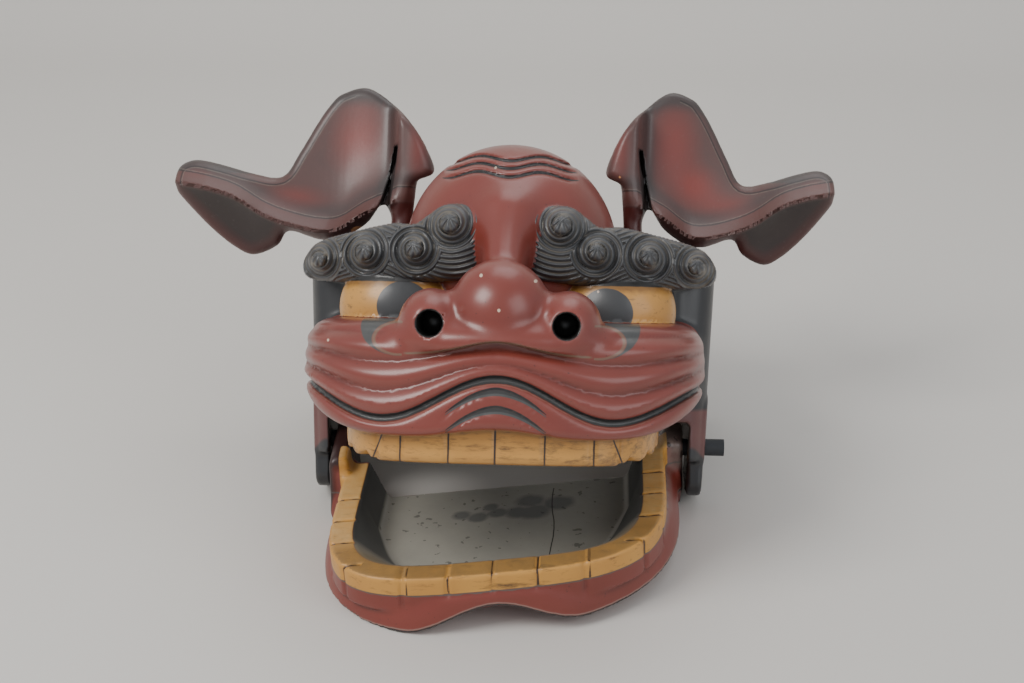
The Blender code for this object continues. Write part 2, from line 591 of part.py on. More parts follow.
# Lower jaw
side_x = HEAD_WIDTH / 2 + GRID_MARGIN
front_y = JAW_START_Y - JAW_REACH - HINGE_Y - 2.5 * GRID_MARGIN
lower_jaw = add_carving("lower_jaw", lambda x, y, z: lower_jaw_field(x, y + HINGE_Y, z + HINGE_Z),
                        (-side_x, front_y, -HINGE_Z - 1.5 * GRID_MARGIN),
                        (side_x, ARM_BACK + 2.5 * GRID_MARGIN, ARM_RISE + 1.8 * GRID_MARGIN),
                        JAW_CELL, JAW_TRIANGLES, red_lacquer, jaw_axis)
arm_hole = round_cutter("arm_hole", (0, 0, 0), (1, 0, 0), ROD_RADIUS + ROD_CLEARANCE, far, jaw_axis)
cut(lower_jaw, floor_cutter)
cut(lower_jaw, arm_hole)

# Ears
for side, label, stretch in ((-1, "left", LEFT_EAR_STRETCH), (1, "right", RIGHT_EAR_STRETCH)):
    seat = add_empty(f"{label}_ear_seat", (side * PEG_X, PEG_Y, SHOULDER_Z), parent=head_frame)
    corners = np.array([np.min(EAR_OUTLINE, 0) - GRID_MARGIN, np.max(EAR_OUTLINE, 0) + GRID_MARGIN])
    (low, foot), (high, top) = corners
    low, high = sorted((side * low, side * high))
    foot = min(foot, STALK_FOOT_Z - STALK_RADIUS - GRID_MARGIN)
    reach = EAR_BOWL + EAR_FLAP + EAR_THICK
    ear = add_carving(f"{label}_ear", lambda x, y, z, to_u=side / stretch: ear_field(to_u * x, y, z),
                      (low, -reach, foot), (high, reach, top), EAR_CELL, EAR_TRIANGLES, ear_lacquer, seat)
    peg = round_cutter(f"{label}_peg", (0, 0, -PEG_DEPTH + 0.02), (0, 0, 1), PEG_RADIUS, 2 * PEG_DEPTH, seat)
    join = ear.modifiers.new("Peg", "BOOLEAN")
    join.object = peg
    join.operation = "UNION"
    join.solver = "EXACT"

# Rod
bpy.ops.mesh.primitive_cylinder_add(vertices=24, radius=ROD_RADIUS, depth=ROD_RIGHT_X - ROD_LEFT_X,
                                    location=((ROD_LEFT_X + ROD_RIGHT_X) / 2, 0, 0), rotation=(0, pi / 2, 0))
jaw_rod = bpy.context.object
jaw_rod.name = "jaw_rod"
for group in jaw_rod.users_collection:
    group.objects.unlink(jaw_rod)
model.objects.link(jaw_rod)
jaw_rod.parent = jaw_axis
jaw_rod.data.materials.append(slate_paint)
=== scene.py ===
# %% [markdown]
# # A carved lion head for a dance
#
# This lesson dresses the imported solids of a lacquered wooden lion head. The head stands with its mouth open:
# an upper head, a lower jaw on a rod, and two ears that lift out. The solids are coarse, so the lesson carves
# each form again from the same named sizes, this time finely, and then paints it with nodes.

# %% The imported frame
from math import cos, pi, radians, sin

import bpy
import numpy as np
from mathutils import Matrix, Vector


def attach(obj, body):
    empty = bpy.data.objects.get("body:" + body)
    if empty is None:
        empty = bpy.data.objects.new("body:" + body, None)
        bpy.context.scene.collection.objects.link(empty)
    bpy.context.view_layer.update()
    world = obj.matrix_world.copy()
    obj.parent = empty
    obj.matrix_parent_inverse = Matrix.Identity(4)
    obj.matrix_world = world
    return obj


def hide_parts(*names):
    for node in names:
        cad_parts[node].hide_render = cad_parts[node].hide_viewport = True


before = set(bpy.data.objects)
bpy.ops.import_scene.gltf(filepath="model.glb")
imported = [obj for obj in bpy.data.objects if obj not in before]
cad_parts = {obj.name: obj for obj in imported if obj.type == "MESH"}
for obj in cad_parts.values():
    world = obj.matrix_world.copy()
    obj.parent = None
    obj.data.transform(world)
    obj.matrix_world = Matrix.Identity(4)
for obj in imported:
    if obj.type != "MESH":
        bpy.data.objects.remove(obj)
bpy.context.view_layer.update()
print("nodes:", sorted(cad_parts))

# %% [markdown]
# ## Named sizes
#
# A real carver works from a handful of measures: how wide the head is, how far the muzzle reaches, where the
# hinge sits. The same measures stand here, in metres. The upper head is told in its own frame, which has its
# origin on the hinge, y towards the back and z up, and the whole frame is tipped back by `HEAD_PITCH`.

# %% Sizes of the head
STAND_X = 0.0115
STAND_Y = -0.0265
HEAD_WIDTH = 0.300
SIDE_FLARE = 0.040
HEAD_PITCH = radians(24.5)
HINGE_Y = 0.018
HINGE_Z = 0.044
REAR_RIM_Y = 0.140
RIM_BAND_Y = 0.112
RIM_BAND_THICK = 0.005
WALL = 0.013

SHOULDER_Z = 0.148
WALL_FOOT_Z = -0.010
THROAT_Z = 0.020
FACE_PLANE_Y = -0.030
CORE_PLANE_Y = -0.082
CORE_HALF_WIDTH = 0.120
DOME_HALF_WIDTH = 0.080
DOME_CENTRE_Y = -0.035
DOME_CENTRE_Z = 0.145
DOME_RISE = 0.0825
DOME_REACH = 0.085
WRINKLE_Z = (0.2012, 0.2078, 0.2140)
WRINKLE_DEPTH = 0.0022
WRINKLE_WAVE = 0.0022
WRINKLE_PITCH = 0.046

MUZZLE_HALF_WIDTH = 0.1445
MUZZLE_START_Y = -0.065
MUZZLE_REACH = 0.136
MUZZLE_TOP_Z = 0.096
FOLDS = 3
FOLD_DEPTH = 0.0044
GROOVE_Z = 0.044
GROOVE_WAVE = 0.014
GROOVE_BEND_X = 0.078
GROOVE_END_Z = 0.030
GROOVE_END_RISE = 0.012
LIP_Z = 0.0187
LIP_WAVE = 0.0028
LIP_BEND_X = 0.060
LIP_END_RISE = 0.0213
LIP_END_RUN = 0.078

TEETH_HALF_WIDTH = 0.112
TEETH_REACH = 0.119
TEETH_THICK = 0.014
FANG_NOTCH = 0.0045
TOOTH_GAP_X = (0.0, 0.0325, 0.0650, 0.0820)

NOSE_CENTRE = (0.0, -0.171, 0.1045)
NOSE_RADII = (0.0340, 0.035, 0.0340)
WING_CENTRE = (0.0465, -0.170, 0.0940)
WING_RADII = (0.0225, 0.032, 0.0240)
NOSTRIL_RADIUS = 0.0085
NOSE_FOOT_Z = 0.0740
NOSE_FOOT_WAVE = 0.0090
NOSE_FOOT_HALF = 0.032
BRIDGE_RADIUS = 0.0145
EYE_CENTRE = (0.0780, -0.077, 0.104)
EYE_RADII = (0.0450, 0.038, 0.040)
BROW_OUTLINE = ((0.0145, 0.128), (0.0145, 0.163), (0.021, 0.1740), (0.033, 0.1790), (0.047, 0.1775),
                (0.057, 0.1705), (0.067, 0.1640), (0.083, 0.1645), (0.112, 0.1585), (0.137, 0.1520),
                (0.147, 0.1455), (0.1525, 0.1340), (0.147, 0.1235), (0.120, 0.1210), (0.080, 0.1215),
                (0.036, 0.1235))
BROW_FRONT_Y = -0.127
BROW_SWEEP = 0.040
BROW_BUDS = ((0.0395, 0.1640, 0.0150), (0.0645, 0.1455, 0.0135), (0.1015, 0.1430, 0.0135),
             (0.1365, 0.1375, 0.0125))
BROW_BUD_RISE = 0.0085

LUG_FRONT_Y = -0.017
LUG_BACK_Y = 0.060
LUG_FOOT_Z = -0.037
ROD_RADIUS = 0.0065
ROD_CLEARANCE = 0.0006
ARM_CLEARANCE = 0.0030
ARM_THICK = 0.0150
ARM_LAP = 0.020
ARM_FOOT_Z = 0.002
ARM_BACK = 0.017
ARM_RISE = 0.016

print("the head is", HEAD_WIDTH, "m wide over its side walls")

# %% Sizes of the ears and the jaw
PEG_X = 0.0935
PEG_Y = 0.045
PEG_RADIUS = 0.0060
PEG_CLEARANCE = 0.0008
PEG_DEPTH = 0.022
EAR_THICK = 0.0115
EAR_BOWL = 0.024
EAR_BOWL_RUN = 0.022
EAR_FLAP = 0.022
EAR_FLAP_RUN = 0.020
EAR_SWEEP = 0.006
EAR_SWEEP_RUN = 0.120
EAR_FOLD_X = 0.004
EAR_FOLD_BLEND = 0.003
EAR_FOLD_BED = -0.010
EAR_FOLD_RUN = 0.022
EAR_FOLD_RISE = 0.010
EAR_SLOT_X = 0.005
EAR_SLOT_WIDTH = 0.0030
EAR_SLOT_TOP_Z = 0.084
EAR_SLOT_FLOOR = 0.0010
EAR_SLOT_LEAN = 0.15
EAR_SLOT_SPREAD = 0.035
STALK_RADIUS = 0.0085
STALK_TOP = (-0.003, 0.005, 0.058)
STALK_FOOT_Z = 0.010
LEFT_EAR_STRETCH = 1.00
RIGHT_EAR_STRETCH = 0.87

JAW_SIDE_GAP = 0.0060
JAW_HALF_WIDTH = HEAD_WIDTH / 2 - WALL - JAW_SIDE_GAP
JAW_START_Y = -0.055
JAW_REACH = 0.124
JAW_WAVE = 0.008
JAW_TOP_Z = 0.046
JAW_GUM_Z = 0.032
JAW_EDGE_Z = 0.012
JAW_LIP_WIDTH = 0.0095
JAW_TEETH_HALF_WIDTH = JAW_HALF_WIDTH - JAW_LIP_WIDTH
JAW_TEETH_REACH = 0.113
JAW_TEETH_THICK = 0.018
JAW_BACK_Y = 0.004
TRAY_FLOOR_Z = 0.013
JAW_LOBE_X = 0.066
JAW_GAP_X = (0.0, 0.0308, 0.0625)
JAW_GAP_Y = (-0.140, -0.110, -0.080, -0.050)
JAW_SKEW = 0.125
JAW_ROLL = radians(3.5)
JAW_UNDERCUT = 1.8

print("the jaw reaches", JAW_REACH, "m ahead of its straight sides")

# %% [markdown]
# ## Forms as distances
#
# A rounded carving is hard to model face by face. It is easier to write a function that says how far a point
# is from the surface, negative inside the wood. Two forms join with a fillet when the smaller distance is
# taken softly, and a hollow is cut when a distance is turned round. The functions work on whole arrays at
# once.

# %% Joining and basic forms
def soft_max(a, b, blend):
    """The larger of two distances, with a fillet of about the given size where they meet."""
    near = np.maximum(blend - np.abs(a - b), 0.0) / blend
    return np.maximum(a, b) + near * near * blend * 0.25


def soft_min(a, b, blend):
    return -soft_max(-a, -b, blend)


def ellipsoid(p, centre, radii):
    """Distance from an ellipsoid, exact on its surface and close to it nearby."""
    k0 = np.sqrt(sum(((q - c) / r) ** 2 for q, c, r in zip(p, centre, radii)))
    k1 = np.sqrt(sum(((q - c) / r ** 2) ** 2 for q, c, r in zip(p, centre, radii)))
    return k0 * (k0 - 1.0) / np.maximum(k1, 1e-9)


def rounded_box(p, low, high, radius):
    out = [np.abs(q - (l + h) / 2) - (h - l) / 2 + radius for q, l, h in zip(p, low, high)]
    outside = np.sqrt(sum(np.maximum(o, 0.0) ** 2 for o in out))
    inside = np.minimum(np.maximum(np.maximum(out[0], out[1]), out[2]), 0.0)
    return outside + inside - radius


def capsule(p, start, end, radius):
    span = [e - s for s, e in zip(start, end)]
    along = sum((q - s) * d for q, s, d in zip(p, start, span)) / sum(d * d for d in span)
    along = np.clip(along, 0.0, 1.0)
    return np.sqrt(sum((q - s - along * d) ** 2 for q, s, d in zip(p, start, span))) - radius


print("a ball of 1 m, seen from 2 m:", float(ellipsoid((2.0, 0.0, 0.0), (0, 0, 0), (1, 1, 1))))

# %% Plans and outlines
def u_plan(across, y, half_width, start_y, reach, power=2.8):
    """Distance outside a U in plan: straight sides behind start_y and a round front ahead of it."""
    ahead = np.maximum(start_y - y, 0.0) / reach
    return ((across / half_width) ** power + ahead ** power) ** (1 / power) * half_width - half_width


def smooth_path(points, steps, closed=False):
    """Points on a Catmull-Rom curve through the given ones."""
    points = np.array(points, float)
    if closed:
        ring = np.vstack([points[-1], points, points[0], points[1]])
    else:
        ring = np.vstack([2 * points[0] - points[1], points, 2 * points[-1] - points[-2]])
    t = np.linspace(0, 1, steps, endpoint=False)[:, None]
    parts = []
    for a, b, c, d in zip(ring, ring[1:], ring[2:], ring[3:]):
        bend = (2 * a - 5 * b + 4 * c - d) * t ** 2 + (3 * b - a - 3 * c + d) * t ** 3
        parts.append(b + 0.5 * ((c - a) * t + bend))
    return np.vstack(parts + ([] if closed else [points[-1:]]))


def outline_distance(u, v, outline):
    """Signed distance to a closed outline in a plane, negative inside."""
    nearest = np.full(np.broadcast(u, v).shape, 1e9)
    inside = np.zeros(nearest.shape, bool)
    for (u0, v0), (u1, v1) in zip(outline, np.roll(outline, -1, axis=0)):
        du, dv = u1 - u0, v1 - v0
        along = np.clip(((u - u0) * du + (v - v0) * dv) / (du * du + dv * dv), 0, 1)
        nearest = np.minimum(nearest, (u - u0 - along * du) ** 2 + (v - v0 - along * dv) ** 2)
        if dv != 0:
            crosses = ((v0 <= v) != (v1 <= v)) & (u < u0 + (v - v0) * du / dv)
            inside ^= crosses
    return np.where(inside, -1.0, 1.0) * np.sqrt(nearest)


print("points on a smoothed square:", len(smooth_path(((0, 0), (1, 0), (1, 1), (0, 1)), 4, closed=True)))

# %% [markdown]
# ## The muzzle and the teeth
#
# The muzzle is a wide U in plan. Three rounded folds run over it from side to side and follow the wave of the
# lip, so their height is measured as a share of the way between the black groove and the top. The teeth are a
# ring below the lip with notches at the sides that leave the fangs standing.

# %% Muzzle
def groove_line(across):
    """Height of the black groove of the upper lip: a high wave in the middle and rising ends."""
    middle = GROOVE_Z + GROOVE_WAVE * np.cos(pi * across / GROOVE_BEND_X)
    end = GROOVE_END_Z + GROOVE_END_RISE * (1 - np.cos(pi * (across - GROOVE_BEND_X) / GROOVE_BEND_X))
    return np.where(across < GROOVE_BEND_X, middle, end)


def lip_line(across):
    """Height of the lower edge of the upper lip."""
    middle = LIP_Z + LIP_WAVE * (1 + np.cos(pi * np.minimum(across / LIP_BEND_X, 1.0)))
    return middle + LIP_END_RISE * (np.maximum(across - LIP_BEND_X, 0.0) / LIP_END_RUN) ** 3


def muzzle(p):
    """The rounded U of the muzzle with its folds, its rolled lip and its flat top."""
    across, y, z = p
    outline = u_plan(across, y, MUZZLE_HALF_WIDTH, MUZZLE_START_Y, MUZZLE_REACH)
    groove = groove_line(across)
    level = (z - groove) / (MUZZLE_TOP_Z - 0.008 - groove)
    inside_folds = np.clip(level * 6, 0, 1) * np.clip((1.15 - level) * 6, 0, 1)
    ends = 1 - 0.9 * np.clip((y + 0.150) / 0.055, 0, 1)
    strength = FOLD_DEPTH * (0.35 + 0.65 * np.clip(across / 0.045, 0, 1)) * inside_folds * ends
    folds = strength * (0.5 - np.sqrt(np.sin(pi * FOLDS * level) ** 2 + 0.03))
    roll = 0.0035 * np.exp(-((z - groove) / 0.0035) ** 2)
    back = 0.010 * np.clip(level, 0, 1.3) ** 2 * (1 - 0.8 * (across / MUZZLE_HALF_WIDTH) ** 2)
    body = outline + folds + roll + back
    body = soft_max(body, z - MUZZLE_TOP_Z, 0.018)
    return soft_max(body, lip_line(across) - z, 0.008)


def upper_teeth(p):
    """The ring of upper teeth, with joints in front and notches along the sides."""
    across, y, z = p
    outline = u_plan(across, y, TEETH_HALF_WIDTH, MUZZLE_START_Y, TEETH_REACH, 3.5)
    along_side = np.clip((y + 0.168) / 0.105, 0, 1)
    notches = 0.5 + 0.5 * np.cos(2 * pi * (y + 0.1625) / 0.020)
    tip = 0.016 * along_side + FANG_NOTCH * notches * np.clip((y + 0.168) / 0.004, 0, 1)
    gaps = sum(np.exp(-((across - gap) / 0.0018) ** 2) for gap in TOOTH_GAP_X) * (y < -0.12)
    ring = soft_max(outline + 0.0012 * gaps, -outline - TEETH_THICK, 0.002)
    ring = soft_max(ring, z - 0.045, 0.004)
    return soft_max(ring, tip - z, 0.003)


print("the groove is", float(groove_line(np.array(0.0))), "m above the hinge in the middle")

# %% [markdown]
# ## Skull, nose and brows
#
# Behind the face the head is a box with round shoulders and a dome. Nose, nostrils and brows are ellipsoids,
# capsules and one drawn outline, all joined softly, as a carver rounds the meeting of two forms.

# %% Skull
def bridge(p):
    """The ridge that runs down the forehead into the nose."""
    return capsule(p, (0, NOSE_CENTRE[1] + 0.006, NOSE_CENTRE[2]),
                   (0, NOSE_CENTRE[1] + 0.061, NOSE_CENTRE[2] + 0.063), BRIDGE_RADIUS)


def dome(p, inset=0.0):
    """The long dome over the head, stretched towards the back."""
    across, y, z = p
    back = np.where(y > DOME_CENTRE_Y, DOME_CENTRE_Y + 0.35 * (y - DOME_CENTRE_Y), y)
    return ellipsoid((across, back, z), (0, DOME_CENTRE_Y, DOME_CENTRE_Z),
                     (DOME_HALF_WIDTH - inset, DOME_REACH - inset, DOME_RISE - inset))


def skull(p):
    """The box of the head with round shoulders, under the wrinkled dome."""
    across, y, z = p
    half = HEAD_WIDTH / 2
    flared = (across - SIDE_FLARE * z, y, z)
    box = rounded_box(flared, (-half, FACE_PLANE_Y, -0.06), (half, REAR_RIM_Y + 0.03, SHOULDER_Z), 0.022)
    box = soft_max(box, WALL_FOOT_Z - z, 0.004)
    core = rounded_box(p, (-CORE_HALF_WIDTH, CORE_PLANE_Y, 0.020), (CORE_HALF_WIDTH, 0.0, SHOULDER_Z), 0.020)
    box = soft_min(box, core, 0.020)
    wave = WRINKLE_WAVE * np.cos(2 * pi * across / WRINKLE_PITCH)
    wrinkles = sum(np.exp(-((z - level + wave) / 0.0016) ** 2) for level in WRINKLE_Z)
    top = dome(p) + WRINKLE_DEPTH * wrinkles * np.clip((0.050 - across) / 0.008, 0, 1) * (y < 0)
    return soft_min(soft_min(top, bridge(p), 0.026), box, 0.012)


def hinge_cheek(p):
    """The lug of a side wall that carries the rod."""
    across, y, z = p
    half = HEAD_WIDTH / 2
    plate = rounded_box((across - SIDE_FLARE * z, y, z), (half - WALL, -1, -1), (half, 1, 1), 0.003)
    side = rounded_box((across * 0, y, z), (-1, LUG_FRONT_Y, LUG_FOOT_Z), (1, LUG_BACK_Y, 0.04), 0.012)
    return soft_max(plate, side, 0.003)


def nose_foot(across):
    """Height of the line on which the nose sits on the muzzle."""
    return NOSE_FOOT_Z + NOSE_FOOT_WAVE * np.exp(-(across / NOSE_FOOT_HALF) ** 2)


def nose(p):
    """The ball of the nose, its wings and the plate under them."""
    ball = ellipsoid(p, NOSE_CENTRE, NOSE_RADII)
    wing = ellipsoid(p, WING_CENTRE, WING_RADII)
    plate = ellipsoid(p, (0, -0.165, 0.083), (0.085, 0.042, 0.020))
    shape = soft_min(soft_min(ball, wing, 0.010), bridge(p), 0.012)
    return soft_max(soft_min(shape, plate, 0.006), nose_foot(p[0]) - p[2], 0.002)


def nostril(p):
    x, y, z = WING_CENTRE
    return capsule(p, (x, y - 0.050, z), (x - 0.002, y - 0.008, z + 0.001), NOSTRIL_RADIUS)


print("the dome is", DOME_CENTRE_Z + DOME_RISE, "m above the hinge")

# %% [markdown]
# ## Brows and the hollow
#
# The brow's outline is drawn in the face's plane and its front swells into curl buds. The hollow is the same
# kind of form again, smaller by the wall, so the wood keeps an even thickness.

# %% Brows and the hollow
def brow(p):
    """A thick band over the eye, rolled in section, with a row of curl buds standing out of its front."""
    across, y, z = p
    edge = outline_distance(across, z, smooth_path(BROW_OUTLINE, 4, closed=True))
    front = BROW_FRONT_Y + BROW_SWEEP * (np.clip(across / 0.15, 0, 1.1)) ** 2
    front = front - 0.012 * (1 - np.exp(np.minimum(edge, 0.0) / 0.007)) + 0.012
    for u, v, radius in BROW_BUDS:
        away = np.sqrt((across - u) ** 2 + (z - v) ** 2) / radius
        bud = np.exp(-(away / 0.62) ** 4) - 0.45 * np.exp(-((away - 1.0) / 0.22) ** 2)
        front = front - BROW_BUD_RISE * bud
    return soft_max(soft_max(edge, front - y, 0.006), y + 0.030, 0.004)


def hollow(p):
    """The empty inside: a room behind the face, a vault in the dome, the mouth, cheeks and eyes."""
    across, y, z = p
    band = RIM_BAND_THICK * np.clip((y - RIM_BAND_Y) / 0.004, 0, 1)
    wall = WALL + band
    half = HEAD_WIDTH / 2
    flared = (across - SIDE_FLARE * z, y, z)
    room = rounded_box(flared, (-half, FACE_PLANE_Y, -0.20), (half, 0.30, SHOULDER_Z), 0.028) + wall
    core = CORE_HALF_WIDTH
    front_room = rounded_box(p, (-core, CORE_PLANE_Y, -0.20), (core, 0.10, SHOULDER_Z), 0.028)
    room = soft_min(room, front_room + WALL, 0.006)
    room = soft_min(room, dome(p, WALL) + band, 0.010)
    mouth = u_plan(across, y, TEETH_HALF_WIDTH - TEETH_THICK, MUZZLE_START_Y, TEETH_REACH - TEETH_THICK, 3.5)
    mouth = soft_max(mouth, z - MUZZLE_TOP_Z + 1.5 * WALL, 0.020)
    cheek = u_plan(across, y, MUZZLE_HALF_WIDTH - 1.5 * WALL, MUZZLE_START_Y, MUZZLE_REACH - 1.5 * WALL)
    cheek = soft_max(cheek, np.abs(z - 0.061) - 0.015, 0.012)
    throat = rounded_box(flared, (WALL - half, 1.5 * FACE_PLANE_Y, -0.20), (half - WALL, 0.10, THROAT_Z),
                         0.004)
    eye = ellipsoid(p, EYE_CENTRE, [radius - WALL for radius in EYE_RADII])
    for space in (mouth, cheek, throat, eye):
        room = soft_min(room, space, 0.008)
    return room


print("the wall is", WALL, "m thick")

# %% [markdown]
# ## The whole head and where it stands
#
# The solids also have a rear rim, a flat foot, a hole for the rod and two sockets. They were cut with
# Booleans there. Here they are distances too, so one net can carry everything.

# %% Upper head
BROW_SINK = 0.0012
ARC_Z = (0.0495, 0.0375)
ARC_DROP = 0.0155
ARC_REACH = 0.0335
ARC_LIMIT = 0.045
ARC_POWER = 1.8


def to_stand(x, y, z):
    """From the head's own frame to the standing frame."""
    return np.stack([x + STAND_X, STAND_Y + HINGE_Y + y * cos(HEAD_PITCH) + z * sin(HEAD_PITCH),
                     HINGE_Z - y * sin(HEAD_PITCH) + z * cos(HEAD_PITCH)], -1)


def head_forms(p):
    """Each carved form of the head by its paint."""
    shoulders = soft_min(skull(p), hinge_cheek(p), 0.004)
    eye = ellipsoid(p, EYE_CENTRE, EYE_RADII)
    return {"lip": muzzle(p), "skull": shoulders, "eye": eye, "nose": nose(p), "brow": brow(p) + BROW_SINK,
            "teeth": upper_teeth(p)}


def fine_head(x, y, z):
    """The whole upper head in its own frame, with its grooves, holes and flat foot."""
    p = (np.abs(x), y, z)
    forms = head_forms(p)
    shape = soft_min(forms["skull"], forms["lip"] + lip_grooves(p), 0.006)
    for name, fillet in (("eye", 0.0015), ("nose", 0.003), ("brow", 0.003), ("teeth", 0.001)):
        shape = soft_min(shape, forms[name], fillet)
    shape = soft_max(shape, -nostril(p), 0.002)
    shape = soft_max(shape, -hollow(p), 0.003)
    rod_hole = np.sqrt(y ** 2 + z ** 2) - ROD_RADIUS - ROD_CLEARANCE
    socket = np.sqrt((p[0] - PEG_X) ** 2 + (y - PEG_Y) ** 2) - PEG_RADIUS - PEG_CLEARANCE
    shape = soft_max(shape, -rod_hole, 0.001)
    shape = soft_max(shape, -soft_max(socket, 0.11 - z, 0.001), 0.001)
    floor = y * sin(HEAD_PITCH) - z * cos(HEAD_PITCH) - HINGE_Z
    return soft_max(soft_max(shape, y - REAR_RIM_Y, 0.002), floor, 0.001)


def lip_grooves(p):
    """How deep the black groove and the two short arcs under it are cut."""
    across, y, z = p
    front = y < 0
    main = groove_cut(z - groove_line(across), 0.0022) * np.clip((0.150 - across) / 0.02, 0, 1)
    upper = groove_cut(z - arc_line(across, 0), 0.0026) * np.clip((0.040 - across) / 0.020, 0, 1)
    lower = groove_cut(z - arc_line(across, 1), 0.0026) * np.clip((0.042 - across) / 0.020, 0, 1)
    return front * (0.0020 * main + 0.0009 * (upper + lower))


def groove_cut(offset, half_width):
    """One in the middle of a cut, falling off at its sides."""
    return np.exp(-(offset / half_width) ** 4)


def arc_line(across, which):
    """Height of the two short black arcs in the middle of the upper lip."""
    return ARC_Z[which] - ARC_DROP * (np.minimum(across, ARC_LIMIT) / ARC_REACH) ** ARC_POWER


print("the head's own origin stands at", to_stand(0.0, 0.0, 0.0))

# %% [markdown]
# ## Ears and jaw
#
# An ear is a leaf of even thickness, bent over a drawn ridge line, on a stalk and a round peg. The jaw is a
# tray with a ring of teeth and two arms. It lies a little askew, so it is worked out in a leaning frame of
# its own.

# %% Ear
EAR_OUTLINE = ((-0.0262, 0.0630), (-0.0215, 0.0804), (-0.0097, 0.1000), (0.0076, 0.1180), (0.0310, 0.1335),
               (0.0520, 0.1290), (0.0620, 0.1200), (0.0725, 0.1040), (0.0861, 0.0790), (0.0988, 0.0590),
               (0.1223, 0.0610), (0.1430, 0.0664), (0.1665, 0.0707), (0.1797, 0.0639), (0.1801, 0.0474),
               (0.1759, 0.0387), (0.1571, 0.0183), (0.1378, 0.0023), (0.1204, -0.0054), (0.1002, 0.0023),
               (0.0894, 0.0139), (0.0655, 0.0077), (0.0481, 0.0093), (0.0278, 0.0210), (0.0147, 0.0358),
               (0.0034, 0.0329), (-0.0050, 0.0436), (-0.0097, 0.0548))
EAR_RIDGE = ((0.0020, 0.0406), (0.0278, 0.0290), (0.0481, 0.0164), (0.0655, 0.0145), (0.0894, 0.0193),
             (0.1092, 0.0266), (0.1317, 0.0397), (0.1536, 0.0465), (0.1815, 0.0513))


def above_ridge(u, v):
    """How far a point lies above the ridge along which the leaf is bent."""
    ridge_u, ridge_v = smooth_path(EAR_RIDGE, 6).T
    return v - np.interp(u, ridge_u, ridge_v)


def ear_edge(u, v):
    """Distance outside the leaf's outline."""
    return outline_distance(u, v, smooth_path(EAR_OUTLINE, 5, closed=True))


def ear_slot(u, v):
    """Distance outside the slanting cut beside the stalk, without its upper end."""
    below = np.clip(EAR_SLOT_TOP_Z - v, 0, EAR_SLOT_TOP_Z)
    return np.abs(u - EAR_SLOT_X - EAR_SLOT_LEAN * below) - EAR_SLOT_WIDTH / 2 - EAR_SLOT_SPREAD * below


def ear_depth(u, v):
    """How far back the middle of the leaf lies: a bowl behind a rolled rim, and a flap under the wing."""
    sweep = -EAR_SWEEP * (1 + np.clip(u / EAR_SWEEP_RUN, 0, 1.3) ** 1.5)
    height = above_ridge(u, v)
    bowl = EAR_BOWL * (1 - np.exp(-np.maximum(height, 0.0) / EAR_BOWL_RUN)) + 0.10 * np.maximum(height, 0.0)
    flap = EAR_FLAP * (1 - np.exp(-np.maximum(-height, 0.0) / EAR_FLAP_RUN))
    fold = EAR_FOLD_RISE * ((u - EAR_FOLD_BED) / EAR_FOLD_RUN) ** 2 - EAR_SWEEP
    inner = 1 / (1 + np.exp((u - EAR_FOLD_X) / EAR_FOLD_BLEND))
    return (sweep + bowl + flap) * (1 - inner) + fold * inner


def ear_field(x, y, z):
    """The leaf of even thickness on its stalk."""
    step = 0.001
    slope_x = (ear_depth(x + step, z) - ear_depth(x - step, z)) / (2 * step)
    slope_z = (ear_depth(x, z + step) - ear_depth(x, z - step)) / (2 * step)
    leaf = np.abs(y - ear_depth(x, z)) / np.sqrt(1 + slope_x ** 2 + slope_z ** 2) - EAR_THICK / 2
    leaf = soft_max(leaf, ear_edge(x, z), EAR_THICK * 0.7)
    slot = np.maximum(np.maximum(ear_slot(x, z), z - EAR_SLOT_TOP_Z), y - ear_depth(x, z) - EAR_SLOT_FLOOR)
    leaf = soft_max(leaf, -slot, 0.003)
    stalk = capsule((x, y, z), STALK_TOP, (0, 0, STALK_FOOT_Z), STALK_RADIUS)
    return soft_min(leaf, stalk, 0.010)


def fine_ear(x, y, z):
    """The ear with its peg."""
    peg = soft_max(np.sqrt(x ** 2 + y ** 2) - PEG_RADIUS, np.abs(z) - PEG_DEPTH, 0.001)
    return soft_min(ear_field(x, y, z), peg, 0.001)


print("the ear's outline has", len(EAR_OUTLINE), "turning points")

# %% Lower jaw
def tray_frame(x, y, z):
    """Coordinates in the tray's own frame: it leans to one side and its front runs back to the right."""
    lift = z - JAW_EDGE_Z
    u = x * cos(JAW_ROLL) + lift * sin(JAW_ROLL)
    w = lift * cos(JAW_ROLL) - x * sin(JAW_ROLL)
    return u, y - JAW_SKEW * x, w + JAW_EDGE_Z


def jaw_tooth_gaps(across, v):
    """One at each gap between two lower teeth, in front and along the sides, and nought on the teeth."""
    front = sum(np.exp(-((across - gap) / 0.0016) ** 2) for gap in JAW_GAP_X) * (v < -0.135)
    side = sum(np.exp(-((v - gap) / 0.0016) ** 2) for gap in JAW_GAP_Y) * (across > 0.09)
    return front + side


def jaw_edge(across, v):
    """How far forward a place is, the wave between the two lobes there, and the height of the lip's edge."""
    forward = np.clip((-0.050 - v) / 0.080, 0, 1)
    wave = 0.5 * (1 + np.cos(pi * np.clip(across / JAW_LOBE_X, 0, 1)))
    return forward, wave, JAW_EDGE_Z - 0.004 + forward * (0.017 * wave - 0.003)


def jaw_teeth_plan(across, v):
    return u_plan(across, v, JAW_TEETH_HALF_WIDTH, JAW_START_Y, JAW_TEETH_REACH, 3.4)


def tray_side(across, v, w, forward):
    """Distance outside the tray's hollow, whose walls lean outwards, more so in front."""
    plan = u_plan(across, v, JAW_TEETH_HALF_WIDTH - JAW_TEETH_THICK, JAW_START_Y,
                  JAW_TEETH_REACH - JAW_TEETH_THICK, 4.0)
    return plan + (0.35 + 0.8 * forward) * (JAW_TOP_Z - w)


